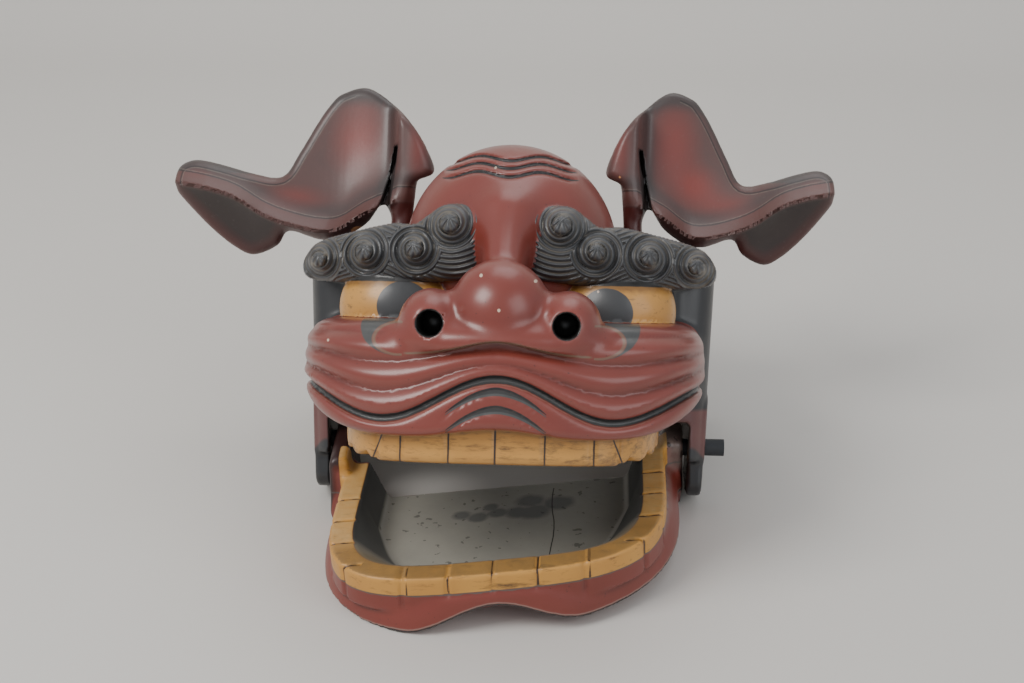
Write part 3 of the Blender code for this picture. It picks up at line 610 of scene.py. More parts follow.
def lower_jaw_field(x, y, z):
    """The jaw: lip, ring of teeth, hollow tray and two arms."""
    u, v, w = tray_frame(x, y, z)
    across = np.abs(u)
    forward, wave, edge = jaw_edge(across, v)
    outline = u_plan(across, v, JAW_HALF_WIDTH, JAW_START_Y, JAW_REACH - JAW_WAVE * wave, 2.3)
    flare = 0.010 * (np.maximum(w - edge, 0.0) / 0.026) ** 2
    undercut = (0.3 + JAW_UNDERCUT * forward) * np.maximum(edge - w, 0.0)
    body = outline + flare + undercut
    body = soft_max(body, w - JAW_GUM_Z, 0.005)
    teeth = soft_max(jaw_teeth_plan(across, v), np.abs(w - JAW_GUM_Z) - (JAW_TOP_Z - JAW_GUM_Z), 0.003)
    teeth = teeth + 0.0014 * jaw_tooth_gaps(across, v)
    body = soft_min(body, teeth, 0.002)
    body = soft_max(body, v - JAW_BACK_Y, 0.002)
    tray = soft_max(tray_side(across, v, w, forward), TRAY_FLOOR_Z - w, 0.004)
    body = soft_max(body, -tray, 0.002)
    outer = HEAD_WIDTH / 2 - WALL - ARM_CLEARANCE
    arm = rounded_box((np.abs(x), y, z), (outer - ARM_THICK, -1, ARM_FOOT_Z),
                      (outer, HINGE_Y + ARM_BACK, HINGE_Z + ARM_RISE), 0.005)
    arm = soft_max(arm, JAW_BACK_Y - ARM_LAP - v, 0.004)
    slope = z - (HINGE_Z + ARM_RISE) - 0.13 * (y - HINGE_Y)
    arm = soft_max(arm, slope, 0.008)
    return soft_max(soft_min(body, arm, 0.008), -z - 0.01, 0.001)


def fine_jaw(x, y, z):
    """The jaw with the hole for the rod and its flat underside."""
    hole = np.sqrt((y - HINGE_Y) ** 2 + (z - HINGE_Z) ** 2) - ROD_RADIUS - ROD_CLEARANCE
    return soft_max(soft_max(lower_jaw_field(x, y, z), -hole, 0.001), -z, 0.0005)


print("the tray's floor is", TRAY_FLOOR_Z, "m thick")

# %% [markdown]
# ## A net over a form
#
# To turn a distance into a mesh, a grid of cells is laid over it. Every cell that the surface crosses gets
# one point, and every crossed grid edge gets one face between its four cells. Then each point slides along
# the slope of the distance until it lies on the surface, which gives smooth forms and good normals.

# %% Net
def corner_slices(axis):
    """Windows on a grid: the start and the end of every edge along an axis."""
    start = [slice(None)] * 3
    end = [slice(None)] * 3
    start[axis] = slice(0, -1)
    end[axis] = slice(1, None)
    return tuple(start), tuple(end)


def net(field, low, high, cell):
    """Points and four-sided faces where a distance field is zero."""
    axes = [np.arange(l, h + cell, cell) for l, h in zip(low, high)]
    size = np.array([len(a) for a in axes])
    value = field(axes[0][:, None, None], axes[1][None, :, None], axes[2][None, None, :])
    value = np.broadcast_to(value, size)
    cells = np.prod(size - 1)
    total, count = np.zeros((cells, 3)), np.zeros(cells)
    quads = []
    for axis in range(3):
        start, end = (value[window] for window in corner_slices(axis))
        edge = np.argwhere((start < 0) != (end < 0))
        a, b = start[tuple(edge.T)], end[tuple(edge.T)]
        place = edge.astype(float)
        place[:, axis] += a / (a - b)
        others = [k for k in range(3) if k != axis]
        ring = []
        for back_one, back_two in ((0, 0), (1, 0), (1, 1), (0, 1)):
            cell_at = edge.copy()
            cell_at[:, others[0]] -= back_one
            cell_at[:, others[1]] -= back_two
            held = ((cell_at >= 0) & (cell_at < size - 1)).all(1)
            flat = np.where(held, np.ravel_multi_index(np.clip(cell_at, 0, size - 2).T, size - 1), -1)
            np.add.at(total, flat[held], place[held])
            np.add.at(count, flat[held], 1)
            ring.append(flat)
        ring = np.stack(ring, 1)
        turned = (a >= 0) != (axis == 1)
        ring[turned] = ring[turned, ::-1]
        quads.append(ring[(ring >= 0).all(1)])
    used = np.flatnonzero(count)
    number = np.full(cells, -1)
    number[used] = np.arange(len(used))
    points = np.array([a[0] for a in axes]) + cell * total[used] / count[used, None]
    return points, number[np.vstack(quads)]


ball, ball_faces = net(lambda x, y, z: np.sqrt(x * x + y * y + z * z) - 0.5, (-1, -1, -1), (1, 1, 1), 0.1)
print("a test ball has", len(ball), "points and", len(ball_faces), "faces")

# %% [markdown]
# ## Sliding the points onto the form
#
# The net's points lie near the surface, not on it. The slope of the distance points straight at the surface,
# so three short slides along it are enough, and the last slope is the surface's normal.

# %% Slopes and settling
def slopes(points, field, step=0.0003):
    """The distance at each point, and which way it grows."""
    here = field(*points.T)
    ahead = [field(*(points + step * np.eye(3)[k]).T) for k in range(3)]
    return here, np.stack([(a - here) / step for a in ahead], 1)


def settle(points, field, cell, rounds=3):
    """Points slid onto the surface, and the surface's normals there."""
    for _ in range(rounds):
        here, slope = slopes(points, field)
        move = slope * (here / np.maximum((slope ** 2).sum(1), 0.05))[:, None]
        length = np.maximum(np.linalg.norm(move, axis=1), 1e-9)[:, None]
        points = points - move * np.minimum(1.0, 0.6 * cell / length)
    slope = slopes(points, field)[1]
    return points, slope / np.maximum(np.linalg.norm(slope, axis=1), 1e-9)[:, None]


print("points slide in", settle.__defaults__[0], "rounds")

# %% [markdown]
# ## Pieces
#
# A piece gets its points in the standing frame, its normals from the form, and a few painted distances as
# attributes. A painted distance is a number at every point that says how far it is from the border of a
# paint. The shader cuts it off sharply, so a large area keeps a crisp border even on a coarse net.

# %% Making a piece
def add_piece(name, points, faces, normals, paints, finish, body, nodes):
    """A mesh with its own normals and paint distances, told to ride on a body, with the nodes it stands for
    hidden.
    """
    mesh = bpy.data.meshes.new(name)
    mesh.from_pydata(points.tolist(), [], faces.tolist())
    mesh.polygons.foreach_set("use_smooth", np.ones(len(faces), bool))
    mesh.normals_split_custom_set_from_vertices(normals.tolist())
    for paint, values in paints.items():
        attribute = mesh.attributes.new(paint, "FLOAT", "POINT")
        attribute.data.foreach_set("value", values.astype(np.float32))
    mesh.materials.append(finish)
    piece = bpy.data.objects.new(name, mesh)
    bpy.context.scene.collection.objects.link(piece)
    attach(piece, body)
    if nodes:
        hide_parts(*nodes)
    print(name, len(points), "points", len(faces), "faces")
    return piece


def turned_to_stand(normals):
    """Directions of the head's frame, turned into the standing frame."""
    return to_stand(*normals.T) - to_stand(0.0, 0.0, 0.0)


def roundness(points, field, reach=0.004):
    """Above nought where the surface stands out, below nought where it is hollow."""
    around = [field(*(points + s * reach * np.eye(3)[k]).T) for k in range(3) for s in (-1, 1)]
    return np.clip(sum(around) / 6 / reach, -1, 1)


print("ready to add pieces")

# %% [markdown]
# ## Paint as sums
#
# Node trees are easier to read as sums. The class below wraps one socket, so `1 - mask` or `a * b` adds the
# Math nodes it needs, and `make` adds any other node. Colours are mixed with a Mix node, because a Math node
# would turn a colour grey.

# %% Shader sums
class Paint:
    """One socket of a shader tree that can be used in sums."""

    def __init__(self, tree, socket=None):
        self.tree = tree
        self.socket = socket

    def make(self, kind, settings=None, sockets=None, output=0):
        """Any node: its type, its settings, and the values or links of its sockets."""
        node = self.tree.nodes.new("ShaderNode" + kind)
        for name, value in (settings or {}).items():
            setattr(node, name, value)
        for name, value in (sockets or {}).items():
            if isinstance(value, Paint):
                self.tree.links.new(value.socket, node.inputs[name])
            else:
                node.inputs[name].default_value = value
        if isinstance(output, tuple):
            return [Paint(self.tree, node.outputs[which]) for which in output]
        return Paint(self.tree, node.outputs[output])

    def sum(self, operation, *values, clamp=False):
        return self.make("Math", {"operation": operation, "use_clamp": clamp}, dict(enumerate(values)))

    def __add__(self, other):
        return self.sum("ADD", self, other)

    __radd__ = __add__

    def __sub__(self, other):
        return self.sum("SUBTRACT", self, other)

    def __rsub__(self, other):
        return self.sum("SUBTRACT", other, self)

    def __mul__(self, other):
        return self.sum("MULTIPLY", self, other)

    __rmul__ = __mul__

    def __truediv__(self, other):
        return self.sum("DIVIDE", self, other)

    def __neg__(self):
        return self.sum("MULTIPLY", self, -1.0)

    def math(self, operation, *others):
        """Any other Math node, such as a cosine or a larger of two."""
        return self.sum(operation, self, *others)

    def held(self):
        """Kept between 0 and 1."""
        return self.sum("ADD", self, 0.0, clamp=True)

    def below(self, edge, blur):
        """1 where the value is under the edge, 0 above it."""
        return ((edge - self) / blur + 0.5).held()

    def inside(self, blur=0.0005):
        """1 where a distance is under nought, with an edge of half a millimetre."""
        return self.below(0.0, blur)

    def near(self, half_width, blur):
        """1 within a half width of nought on both sides."""
        return self.sum("ABSOLUTE", self).below(half_width, blur)

    def either(self, other):
        return self.sum("MAXIMUM", self, other)

    def mixed(self, mask, colour):
        """This colour, with another one laid over it by a mask."""
        sockets = {0: mask, 6: self, 7: colour}
        return self.make("Mix", {"data_type": "RGBA"}, sockets, output=2)


def rgb(red, green, blue):
    """A colour as it is named on a screen, from 0 to 255, made linear for the shader."""
    parts = [c / 255 for c in (red, green, blue)]
    return tuple(c / 12.92 if c < 0.04045 else ((c + 0.055) / 1.055) ** 2.4 for c in parts) + (1.0,)


print("lacquer red is", [round(c, 3) for c in rgb(142, 66, 54)])

# %% Noise, attributes and the closing shader
COAT_ROUGHNESS = 0.25
GRAIN_HEIGHT = 0.001


def start(name):
    """A new material and the start of its sums."""
    finish = bpy.data.materials.new(name)
    finish.use_nodes = True
    return finish, Paint(finish.node_tree)


def noise(tree, scale, detail=3.0, rough=0.5, stretch=(1, 1, 1)):
    """Soft spots in the object's own coordinates, between 0 and 1."""
    where = tree.make("TexCoord", output=3)
    where = tree.make("Mapping", sockets={"Vector": where, "Scale": stretch})
    sockets = {"Vector": where, "Scale": scale, "Detail": detail, "Roughness": rough}
    return tree.make("TexNoise", {"noise_dimensions": "3D"}, sockets, output=0)


def painted(tree, name):
    """A painted distance of the net's points."""
    return tree.make("Attribute", {"attribute_name": name}, output=2)


def plain_number(tree, value):
    return tree.make("Math", {"operation": "ADD"}, {0: value, 1: 0.0})


def plain(tree, colour):
    """A colour that can be painted over."""
    return tree.make("Mix", {"data_type": "RGBA"}, {0: 0.0, 6: colour, 7: colour}, output=2)


def clouded(tree, colour, other, scale, detail=3.0, rough=0.5):
    """A colour that drifts into another one in soft clouds."""
    return plain(tree, colour).mixed(noise(tree, scale, detail, rough), other)


def close(finish, colour, roughness, height=None, bump=0.1, coat=0.0):
    """Leads the worked out values into the material's own shader."""
    tree = finish.node_tree
    shader = tree.nodes["Principled BSDF"]
    for name, value in (("Base Color", colour), ("Roughness", roughness)):
        if isinstance(value, Paint):
            tree.links.new(value.socket, shader.inputs[name])
        else:
            shader.inputs[name].default_value = value
    shader.inputs["Coat Weight"].default_value = coat
    shader.inputs["Coat Roughness"].default_value = COAT_ROUGHNESS
    if height is not None:
        sockets = {"Strength": bump, "Distance": GRAIN_HEIGHT, "Height": height}
        bumped = Paint(tree).make("Bump", sockets=sockets)
        tree.links.new(bumped.socket, shader.inputs["Normal"])
    return finish


print("helpers are ready")

# %% [markdown]
# ## Red lacquer and its black, gold and slate paint
#
# The head is lacquered brick red and polished by hands: pale and pinkish where it stands out, and painted
# shade darkens the folds. Grooves and wrinkles are filled with slate black, the eyes and teeth are gold, and
# the gold is scuffed down to dark wood. All of it is one coat on one carving, so it is one material that reads
# the painted distances.

# %% Lacquer, gold and slate
def lacquer_red(tree):
    """Brick red, uneven, paler on worn ridges, with painted shade darkening the hollows."""
    round_here = painted(tree, "roundness")
    broad = noise(tree, 14.0, 3.0)
    fine = noise(tree, 120.0, 4.0, 0.6)
    red = plain(tree, rgb(128, 56, 46)).mixed((broad - 0.35).held() * 1.2, rgb(106, 44, 35))
    red = red.mixed((round_here * 1.6).held() * (0.30 + fine * 0.4), rgb(158, 88, 78))
    # Painted shade: the hollows are darkened by how deep they are.
    red = red.mixed((round_here * -2.6 - 0.05).held(), rgb(70, 30, 24))
    speck = noise(tree, 420.0, 2.0)
    return red.mixed(speck.math("GREATER_THAN", 0.735) * 0.7, rgb(60, 34, 30))


def gold(tree, wear):
    """Dull gold paint with dark scuffs."""
    streaks = noise(tree, 60.0, 6.0, 0.7, stretch=(0.35, 1.0, 2.2))
    fine = noise(tree, 210.0, 4.0, 0.7, stretch=(0.3, 1.0, 1.6))
    broad = noise(tree, 22.0, 2.0)
    tint = plain(tree, rgb(220, 164, 78)).mixed(broad, rgb(180, 124, 56))
    tint = tint.mixed((fine - (0.62 - wear)).held() * 5.0 * (0.3 + broad), rgb(118, 82, 42))
    return tint.mixed((streaks - (0.66 - wear)).held() * 7.0, rgb(66, 50, 34))


def slate(tree):
    """The near-black of the side walls."""
    return clouded(tree, rgb(54, 55, 57), rgb(32, 33, 35), 45.0, 4.0, 0.6)


print("the paints are mixed from noise of several sizes")

# %% [markdown]
# ## Lines of paint
#
# A black groove that is four millimetres wide would look ragged if every point of the net carried its colour.
# Instead the material works out where it is on the face, from the object's own coordinates turned into the
# head's frame, and draws each line from the same sums as the carving. The lines then stay sharp at any
# distance.

# %% Places on the face
def face_place(tree):
    """The head's own coordinates of a point: to the right, to the back and up."""
    where = tree.make("TexCoord", output=3)
    x, y, z = tree.make("SeparateXYZ", sockets={"Vector": where}, output=(0, 1, 2))
    back, up = y - (STAND_Y + HINGE_Y), z - HINGE_Z
    lean = HEAD_PITCH
    return x - STAND_X, back * cos(lean) - up * sin(lean), back * sin(lean) + up * cos(lean)


def oval(u, v, centre, radii):
    """About how far a place lies outside an ellipse."""
    a, b = (u - centre[0]) / radii[0], (v - centre[1]) / radii[1]
    return ((a * a + b * b).math("SQRT") - 1.0) * min(radii)


print("places on the face are counted from the hinge")

# %% Lines on the face
ARC_END = 0.0345
ARC_HALF_THICK = 0.0021
WRINKLE_END_X = (0.050, 0.048, 0.042)
LIP_SHADE_Z = 0.0175


def groove_height(across):
    """The black groove of the lip, the same line as groove_line."""
    middle = (across * (pi / GROOVE_BEND_X)).math("COSINE") * GROOVE_WAVE + GROOVE_Z
    turn = ((across - GROOVE_BEND_X) * (pi / GROOVE_BEND_X)).math("COSINE")
    end = GROOVE_END_Z + GROOVE_END_RISE - turn * GROOVE_END_RISE
    inner = across.below(GROOVE_BEND_X, 0.002)
    return middle * inner + end * (1 - inner)


def arc_mark(across, z, which):
    """A short black arc in the middle of the lip, thick in its middle and thin at its ends."""
    drop = (across.math("MINIMUM", ARC_LIMIT) / ARC_REACH).math("POWER", ARC_POWER) * ARC_DROP
    half = ((ARC_END - across) / ARC_END).held().math("POWER", 0.6) * ARC_HALF_THICK
    offset = (z - (ARC_Z[which] - drop)).math("ABSOLUTE") - half
    return offset.inside(0.0004) * across.below(ARC_REACH, 0.0006)


def wrinkle_marks(tree, across, z):
    """The three waving lines on the dome, each a little shorter than the one under it."""
    wave = (across * (2 * pi / WRINKLE_PITCH)).math("COSINE") * WRINKLE_WAVE
    marks = plain_number(tree, 0.0)
    for level, end in zip(WRINKLE_Z, WRINKLE_END_X):
        thick = ((end - across) / 0.030).held() * 0.0008 + 0.0004
        line = ((z - level + wave).math("ABSOLUTE") - thick).inside()
        marks = marks.either(line * across.below(end, 0.002))
    return marks


def lip_shadow(across):
    """Just under the lip's lower edge, where a painted shadow darkens the teeth."""
    rise = ((across - LIP_BEND_X).math("MAXIMUM", 0.0) / LIP_END_RUN).math("POWER", 3.0) * LIP_END_RISE
    wave = (across.math("MINIMUM", LIP_BEND_X) * (pi / LIP_BEND_X)).math("COSINE") * LIP_WAVE
    return wave + LIP_SHADE_Z + rise


def nose_foot_height(across):
    """The line on which the nose sits, the same as nose_foot."""
    share = across / NOSE_FOOT_HALF
    return (-(share * share)).math("EXPONENT") * NOSE_FOOT_WAVE + NOSE_FOOT_Z


print("arcs stand", ARC_Z, "above the hinge")

# %% [markdown]
# ## The large areas of the head
#
# Real painters lay the large areas first: red all over, near-black on the side walls, and worn red on the
# lugs that carry the rod. Each area is cut out by the painted distance of its own form.

# %% Head finish: red and black
head_finish, tree = start("red_lacquer_painted")
x, y, z = face_place(tree)
across = x.math("ABSOLUTE")
wobble = (noise(tree, 160.0, 3.0) - 0.5) * 0.0010
front = painted(tree, "lip_front")
rub = (noise(tree, 70.0, 5.0, 0.7) - 0.52).held() * 5.0 * ((x - 0.105) / 0.030).held() * front
skull_black = painted(tree, "skull_edge").inside(0.0008)
lug_red = painted(tree, "lug").inside(0.003) * skull_black
colour = lacquer_red(tree).mixed(rub * 0.6, rgb(104, 78, 70))
colour = colour.mixed(skull_black, slate(tree).mixed(0.5, rgb(30, 31, 33)))
colour = colour.mixed(lug_red, clouded(tree, rgb(112, 64, 60), rgb(84, 46, 44), 60.0))
print("red and black take", len(head_finish.node_tree.nodes), "nodes")

# %% [markdown]
# ## Gold eyes and gold teeth
#
# The eyes are gold with a dark oval pupil, and a painted shadow of the brow darkens their upper edge. The
# teeth are gold blocks with dark joints. The gold is scuffed more on the right half, and a painted shadow lies
# under the lip.

# %% Head finish: eyes
PUPIL_X = (0.0725, 0.0722)
PUPIL_Z = (0.1050, 0.1028)
PUPIL_RADII = (0.0190, 0.0178)
BROW_SHADOW_FADE_Z = 0.1165
BROW_SHADOW_Z = 0.1222

gold_eye = painted(tree, "eye_edge").inside()
# Painted shadow of the brow: the top of each eye fades darker.
brow_shadow_fade = ((z + wobble * 4.0 - BROW_SHADOW_FADE_Z) / 0.004).held() * 0.7
colour = colour.mixed(gold_eye, gold(tree, 0.05).mixed(brow_shadow_fade, rgb(104, 70, 34)))
on_right = x.math("GREATER_THAN", 0.0)
pupil_x, pupil_z = (on_right * (right - left) + left for left, right in (PUPIL_X, PUPIL_Z))
pupil = oval(across - pupil_x, z - pupil_z + wobble, (0.0, 0.0), PUPIL_RADII).inside() * gold_eye
colour = colour.mixed(pupil, clouded(tree, rgb(70, 71, 72), rgb(54, 55, 57), 50.0, 4.0))
# Painted shadow of the brow: nearly black along the eye's upper edge.
colour = colour.mixed((BROW_SHADOW_Z - z + wobble).inside(0.0008) * gold_eye, rgb(30, 29, 28))
print("a pupil is", 2 * PUPIL_RADII[0], "m wide")

# %% Head finish: teeth
TOOTH_MIDDLE_X = -0.001
TOOTH_JOINT_X = (0.0325, 0.0655)
FANG_JOINT_X = 0.0785
FANG_JOINT_LEAN = 0.4
TEETH_FRONT_Y = -0.120

gold_teeth = painted(tree, "teeth_edge").inside()
scuffs = (noise(tree, 150.0, 6.0, 0.75, stretch=(0.35, 1.0, 1.6)) - 0.50).held() * 5.0
scuffed = scuffs.held() * ((x + 0.01) / 0.05).held() * 0.75
colour = colour.mixed(gold_teeth, gold(tree, 0.08).mixed(scuffed, rgb(72, 60, 44)))
joints = [across - at for at in TOOTH_JOINT_X]
joints.append(across - FANG_JOINT_X + (z - 0.018) * FANG_JOINT_LEAN)
gap = (x - TOOTH_MIDDLE_X).near(0.0007, 0.0005)
for joint in joints:
    gap = gap.either((joint + wobble * 0.6).near(0.0006, 0.0005) * y.below(TEETH_FRONT_Y, 0.002))
colour = colour.mixed(gap * gold_teeth, rgb(42, 32, 26))
colour = colour.mixed(((0.0060 - z) / 0.006).held() * gold_teeth * 0.5, rgb(92, 62, 34))
# Painted shadow under the overhanging lip, on the teeth.
shadow = ((z - lip_shadow(across)) / 0.004).held() * gold_teeth
colour = colour.mixed(shadow * 0.7, rgb(74, 50, 30))

# %% [markdown]
# ## Black lines
#
# The long groove of the lip, the two arcs under it, the wrinkles of the dome and a crescent beside each wing
# of the nose are filled with slate. A painted shadow darkens the upper edge of the groove and of each arc,
# under the overhang, and a thin painted highlight lies under the groove.

# %% Head finish: black lines
CRESCENT_Z = 0.0935
CRESCENT_X = 0.0660
CRESCENT_RADII = (0.0290, 0.0212)
CRESCENT_HOLE_Z = 0.0840
CRESCENT_HOLE_RADII = (0.0195, 0.0117)
CRESCENT_FRONT_Y = -0.118
GROOVE_HALF_THICK = 0.0024

height = z - groove_height(across) + wobble * 0.8
ends = across.below(0.140, 0.006)
groove = (height.math("ABSOLUTE") - (across * -0.004 + GROOVE_HALF_THICK)).inside() * front * ends
arcs = arc_mark(across, z + wobble * 0.5, 0).either(arc_mark(across, z + wobble * 0.5, 1)) * front
wrinkle = wrinkle_marks(tree, across, z + wobble * 0.6) * y.below(-0.005, 0.004)
outer = oval(across, z + wobble, (CRESCENT_X, CRESCENT_Z), CRESCENT_RADII)
inner = oval(across, z + wobble, (CRESCENT_X, CRESCENT_HOLE_Z), CRESCENT_HOLE_RADII)
on_muzzle = y.below(CRESCENT_FRONT_Y, 0.002)
crescent = outer.math("MAXIMUM", -inner).math("MAXIMUM", CRESCENT_X - 0.0005 - across).inside(0.0006)
crescent = crescent * on_muzzle * (1 - painted(tree, "nose_edge").inside())
black = groove.either(arcs).either(wrinkle).either(crescent)
colour = colour.mixed(black, clouded(tree, rgb(78, 79, 78), rgb(54, 55, 55), 60.0, 4.0))
# Painted shadow along the upper edge of the groove and of the arcs, under the overhang.
shaded_upper_edge = (height - 0.0023).near(0.0008, 0.0005) * front * ends
for which in (0, 1):
    arc_top = arc_mark(across, z - 0.0016 + wobble * 0.5, which)
    shaded_upper_edge = shaded_upper_edge.either(arc_top * front * (1 - arcs * 0.4))
# The same near-black is also the wrinkles' own paint.
colour = colour.mixed(shaded_upper_edge.either(wrinkle), rgb(24, 23, 23))
# Painted highlight: a thin pale line under the groove.
lit_lower_edge = (height + 0.0030).near(0.0004, 0.0005) * front * ends
colour = colour.mixed(lit_lower_edge * 0.35, rgb(176, 140, 126))
print("the groove is", 2 * GROOVE_HALF_THICK, "m high in the middle")

# %% [markdown]
# ## Age and the inside
#
# Dust lies along the foot of the nose and inside the crescents, and six small chips show pale ground.
# Nostrils, brows and the bare wood of the hollow come last, because they are laid over everything else.

# %% Head finish: dust, chips and hollows
CHIPS = ((-0.012, 0.127, 0.0011), (0.024, 0.124, 0.0011), (0.001, 0.104, 0.0010),
         (-0.010, 0.206, 0.0009), (0.066, 0.118, 0.0008), (-0.118, 0.081, 0.0009))
DUST_HALF_WIDTH = 0.062
DUST_FRONT_Y = -0.17

dust = (z - nose_foot_height(across) + wobble).near(0.0007, 0.0010)
dust = dust * across.below(DUST_HALF_WIDTH, 0.003) * y.below(DUST_FRONT_Y, 0.002)
edge_dust = (inner + 0.0008).near(0.0007, 0.0008) * on_muzzle * (across - 0.064).math("GREATER_THAN", 0.0)
colour = colour.mixed(dust.either(edge_dust * 0.8) * 0.75, rgb(118, 108, 88))
chip = plain_number(tree, 0.0)
for right, up, radius in CHIPS:
    chip = chip.either(oval(x, z + wobble, (right, up), (radius, radius * 1.1)).inside(0.0003))
colour = colour.mixed(chip * y.below(-0.05, 0.01) * (1 - skull_black), rgb(214, 190, 168))
colour = colour.mixed(painted(tree, "brow_edge").inside(), rgb(34, 35, 36))
colour = colour.mixed(painted(tree, "nostril").below(0.0012, 0.0006), rgb(34, 32, 30))
within = painted(tree, "hollow").below(0.0010, 0.0010)
colour = colour.mixed(within, clouded(tree, rgb(66, 52, 44), rgb(38, 30, 26), 30.0, 5.0, 0.6))
brush = noise(tree, 230.0, 3.0, 0.6, stretch=(1.0, 1.0, 0.4))
sheen = 0.30 + noise(tree, 25.0, 4.0) * 0.16
for mask, dull in ((black, 0.20), (within, 0.3), (gold_eye, 0.12), (gold_teeth, 0.16), (skull_black, 0.12)):
    sheen = sheen + mask * dull
close(head_finish, colour, sheen, brush + wobble * 60.0, bump=0.10, coat=0.55)
print("head finish:", len(head_finish.node_tree.nodes), "nodes")

# %% [markdown]
# ## The upper head
#
# One closed carving, so one net. Its paint distances are worked out at every point from the same forms.

# %% Upper head
HEAD_NET = 0.0025


def first_edge(forms, name):
    """Below nought where this form is the outermost one."""
    others = np.min([value for key, value in forms.items() if key != name], axis=0)
    return forms[name] - others


def head_paints(points):
    """The painted distances of the upper head, by name."""
    x, y, z = points.T
    p = (np.abs(x), y, z)
    forms = head_forms(p)
    forehead = soft_min(dome(p), bridge(p) - 0.006, 0.026)
    lug = np.maximum(-0.004 - z + 0.006 * np.sin(y * 160), z - 0.030)
    paints = {f"{name}_edge": first_edge(forms, name) for name in ("skull", "eye", "teeth", "nose", "brow")}
    paints["skull_edge"] = np.maximum(paints["skull_edge"], 0.004 - forehead)
    paints["lug"] = np.maximum(lug, y - 0.035)
    paints["lip_front"] = ((y < -0.045) & (forms["teeth"] > 0.0005)).astype(float)
    paints["nostril"] = nostril(p)
    paints["hollow"] = np.abs(hollow(p)) + np.where(y < -0.203, 1, 0)
    return paints


side_x = HEAD_WIDTH / 2 + SIDE_FLARE * SHOULDER_Z + 0.010
low, high = (-side_x, -0.217, LUG_FOOT_Z - 0.012), (side_x, REAR_RIM_Y + 0.008, 0.238)
points, faces = net(fine_head, low, high, HEAD_NET)
points, normals = settle(points, fine_head, HEAD_NET)
paints = head_paints(points)
paints["roundness"] = roundness(points, fine_head)
add_piece("head_carving", to_stand(*points.T), faces, turned_to_stand(normals), paints, head_finish,
          "head", ["upper_head"])

# %% [markdown]
# ## The brows
#
# The brows are charcoal rolls of carved hair. Each has four buds, and the hair strands wind round them in
# spirals and flow across between them. The strands are three and a half millimetres apart, too fine for the
# head's net, so each brow is a sheet of its own over the head, with the strands as true relief and tan dust
# in the cuts.

# %% Brow finish
brow_finish, tree = start("charcoal_hair")
cut = painted(tree, "cut")
cloud = noise(tree, 70.0, 4.0, 0.6)
colour = plain(tree, rgb(88, 89, 91)).mixed(cloud, rgb(54, 55, 57))
dusty = (noise(tree, 30.0, 3.0) * 2.2 - 0.6).held()
colour = colour.mixed((cut * 1.4 - 0.2).held() * (0.15 + dusty * 0.7), rgb(108, 96, 76))
# Painted highlight: the backs of the strands are lighter grey.
colour = colour.mixed((cut * -1.2 - 0.3).held() * cloud * 0.6, rgb(78, 79, 80))
close(brow_finish, colour, 0.36 + cloud * 0.12, noise(tree, 350.0, 3.0), bump=0.10, coat=0.25)
print("brow finish:", len(brow_finish.node_tree.nodes), "nodes")

# %% Brow relief
STRAND_PITCH = 0.0034
STRAND_DEPTH = 0.0012
SPIRAL_ARMS = 2
BUD_RIBS = 11
BROW_STEP = 0.0007


def strands(across, z):
    """Carved hair: 1 at the bottom of a cut, -1 on a strand's back."""
    centres = np.array(BROW_BUDS)
    away = np.stack([np.hypot(across - u, z - v) for u, v, _ in centres])
    nearest = (away / centres[:, 2][:, None, None]).argmin(0)
    u, v, size = np.moveaxis(centres[nearest], -1, 0)
    r = np.hypot(across - u, z - v)
    angle = np.arctan2(z - v, across - u)
    spiral = r / STRAND_PITCH + SPIRAL_ARMS * angle / (2 * pi)
    flow = (z + 0.010 * np.sin((across - 0.01) * 52)) / STRAND_PITCH
    flow = flow + 4 * (across - 0.075) * (z - 0.150) / 0.004
    phase = np.where(r < 1.45 * size, spiral, flow)
    lift, aside = z - v - 0.30 * size, across - u
    ribs = np.cos(np.arctan2(lift, aside) * BUD_RIBS)
    core = r < 0.46 * size
    wave = np.where(core, 0.7 * ribs * np.clip(np.hypot(lift, aside) / 0.002, 0, 1), np.cos(2 * pi * phase))
    ring = np.exp(-((r - 0.48 * size) / 0.0007) ** 2)
    return np.clip(wave * 0.9 + ring * 1.6, -1, 1.6)


def brow_sheet():
    """Points of a brow's front, in the head's frame, with the strands cut in."""
    ring = smooth_path(BROW_OUTLINE, 8, closed=True)
    low, high = ring.min(0) - 0.001, ring.max(0) + 0.001
    u = np.arange(low[0], high[0], BROW_STEP)[:, None]
    v = np.arange(low[1], high[1], BROW_STEP)[None, :]
    edge = outline_distance(u, v, ring)
    u, v = np.broadcast_arrays(u, v)
    inside = edge < 0.0002
    front = np.full(u.shape, -0.16)
    for _ in range(40):
        front = front + np.clip(brow((u, front, v)), 0, 0.01) * 0.7
    relief = strands(u, v)
    front = front + STRAND_DEPTH * relief * np.clip(-edge / 0.002, 0, 1)
    return u, v, front, inside, relief


def add_brow(side, label):
    """The squares of the sheet that lie wholly inside the outline, as one piece on the head."""
    u, v, front, inside, relief = brow_sheet()
    corners = (np.s_[:-1, :-1], np.s_[1:, :-1], np.s_[1:, 1:], np.s_[:-1, 1:])
    square = np.all([inside[corner] for corner in corners], axis=0)
    used = np.zeros(u.shape, bool)
    for corner in corners:
        used[corner] |= square
    number = np.full(u.shape, -1)
    number[used] = np.arange(used.sum())
    faces = np.stack([number[corner][square] for corner in corners], 1)
    if side < 0:
        faces = faces[:, ::-1]
    points = np.stack([side * u[used], front[used], v[used]], 1)
    gradient = np.gradient(front, BROW_STEP)
    normals = np.stack([side * gradient[0][used], -np.ones(used.sum()), gradient[1][used]], 1)
    normals /= np.linalg.norm(normals, axis=1)[:, None]
    add_piece(f"{label}_brow", to_stand(*points.T), faces, turned_to_stand(normals), {"cut": relief[used]},
              brow_finish, "head", [])


add_brow(-1, "left")
add_brow(1, "right")

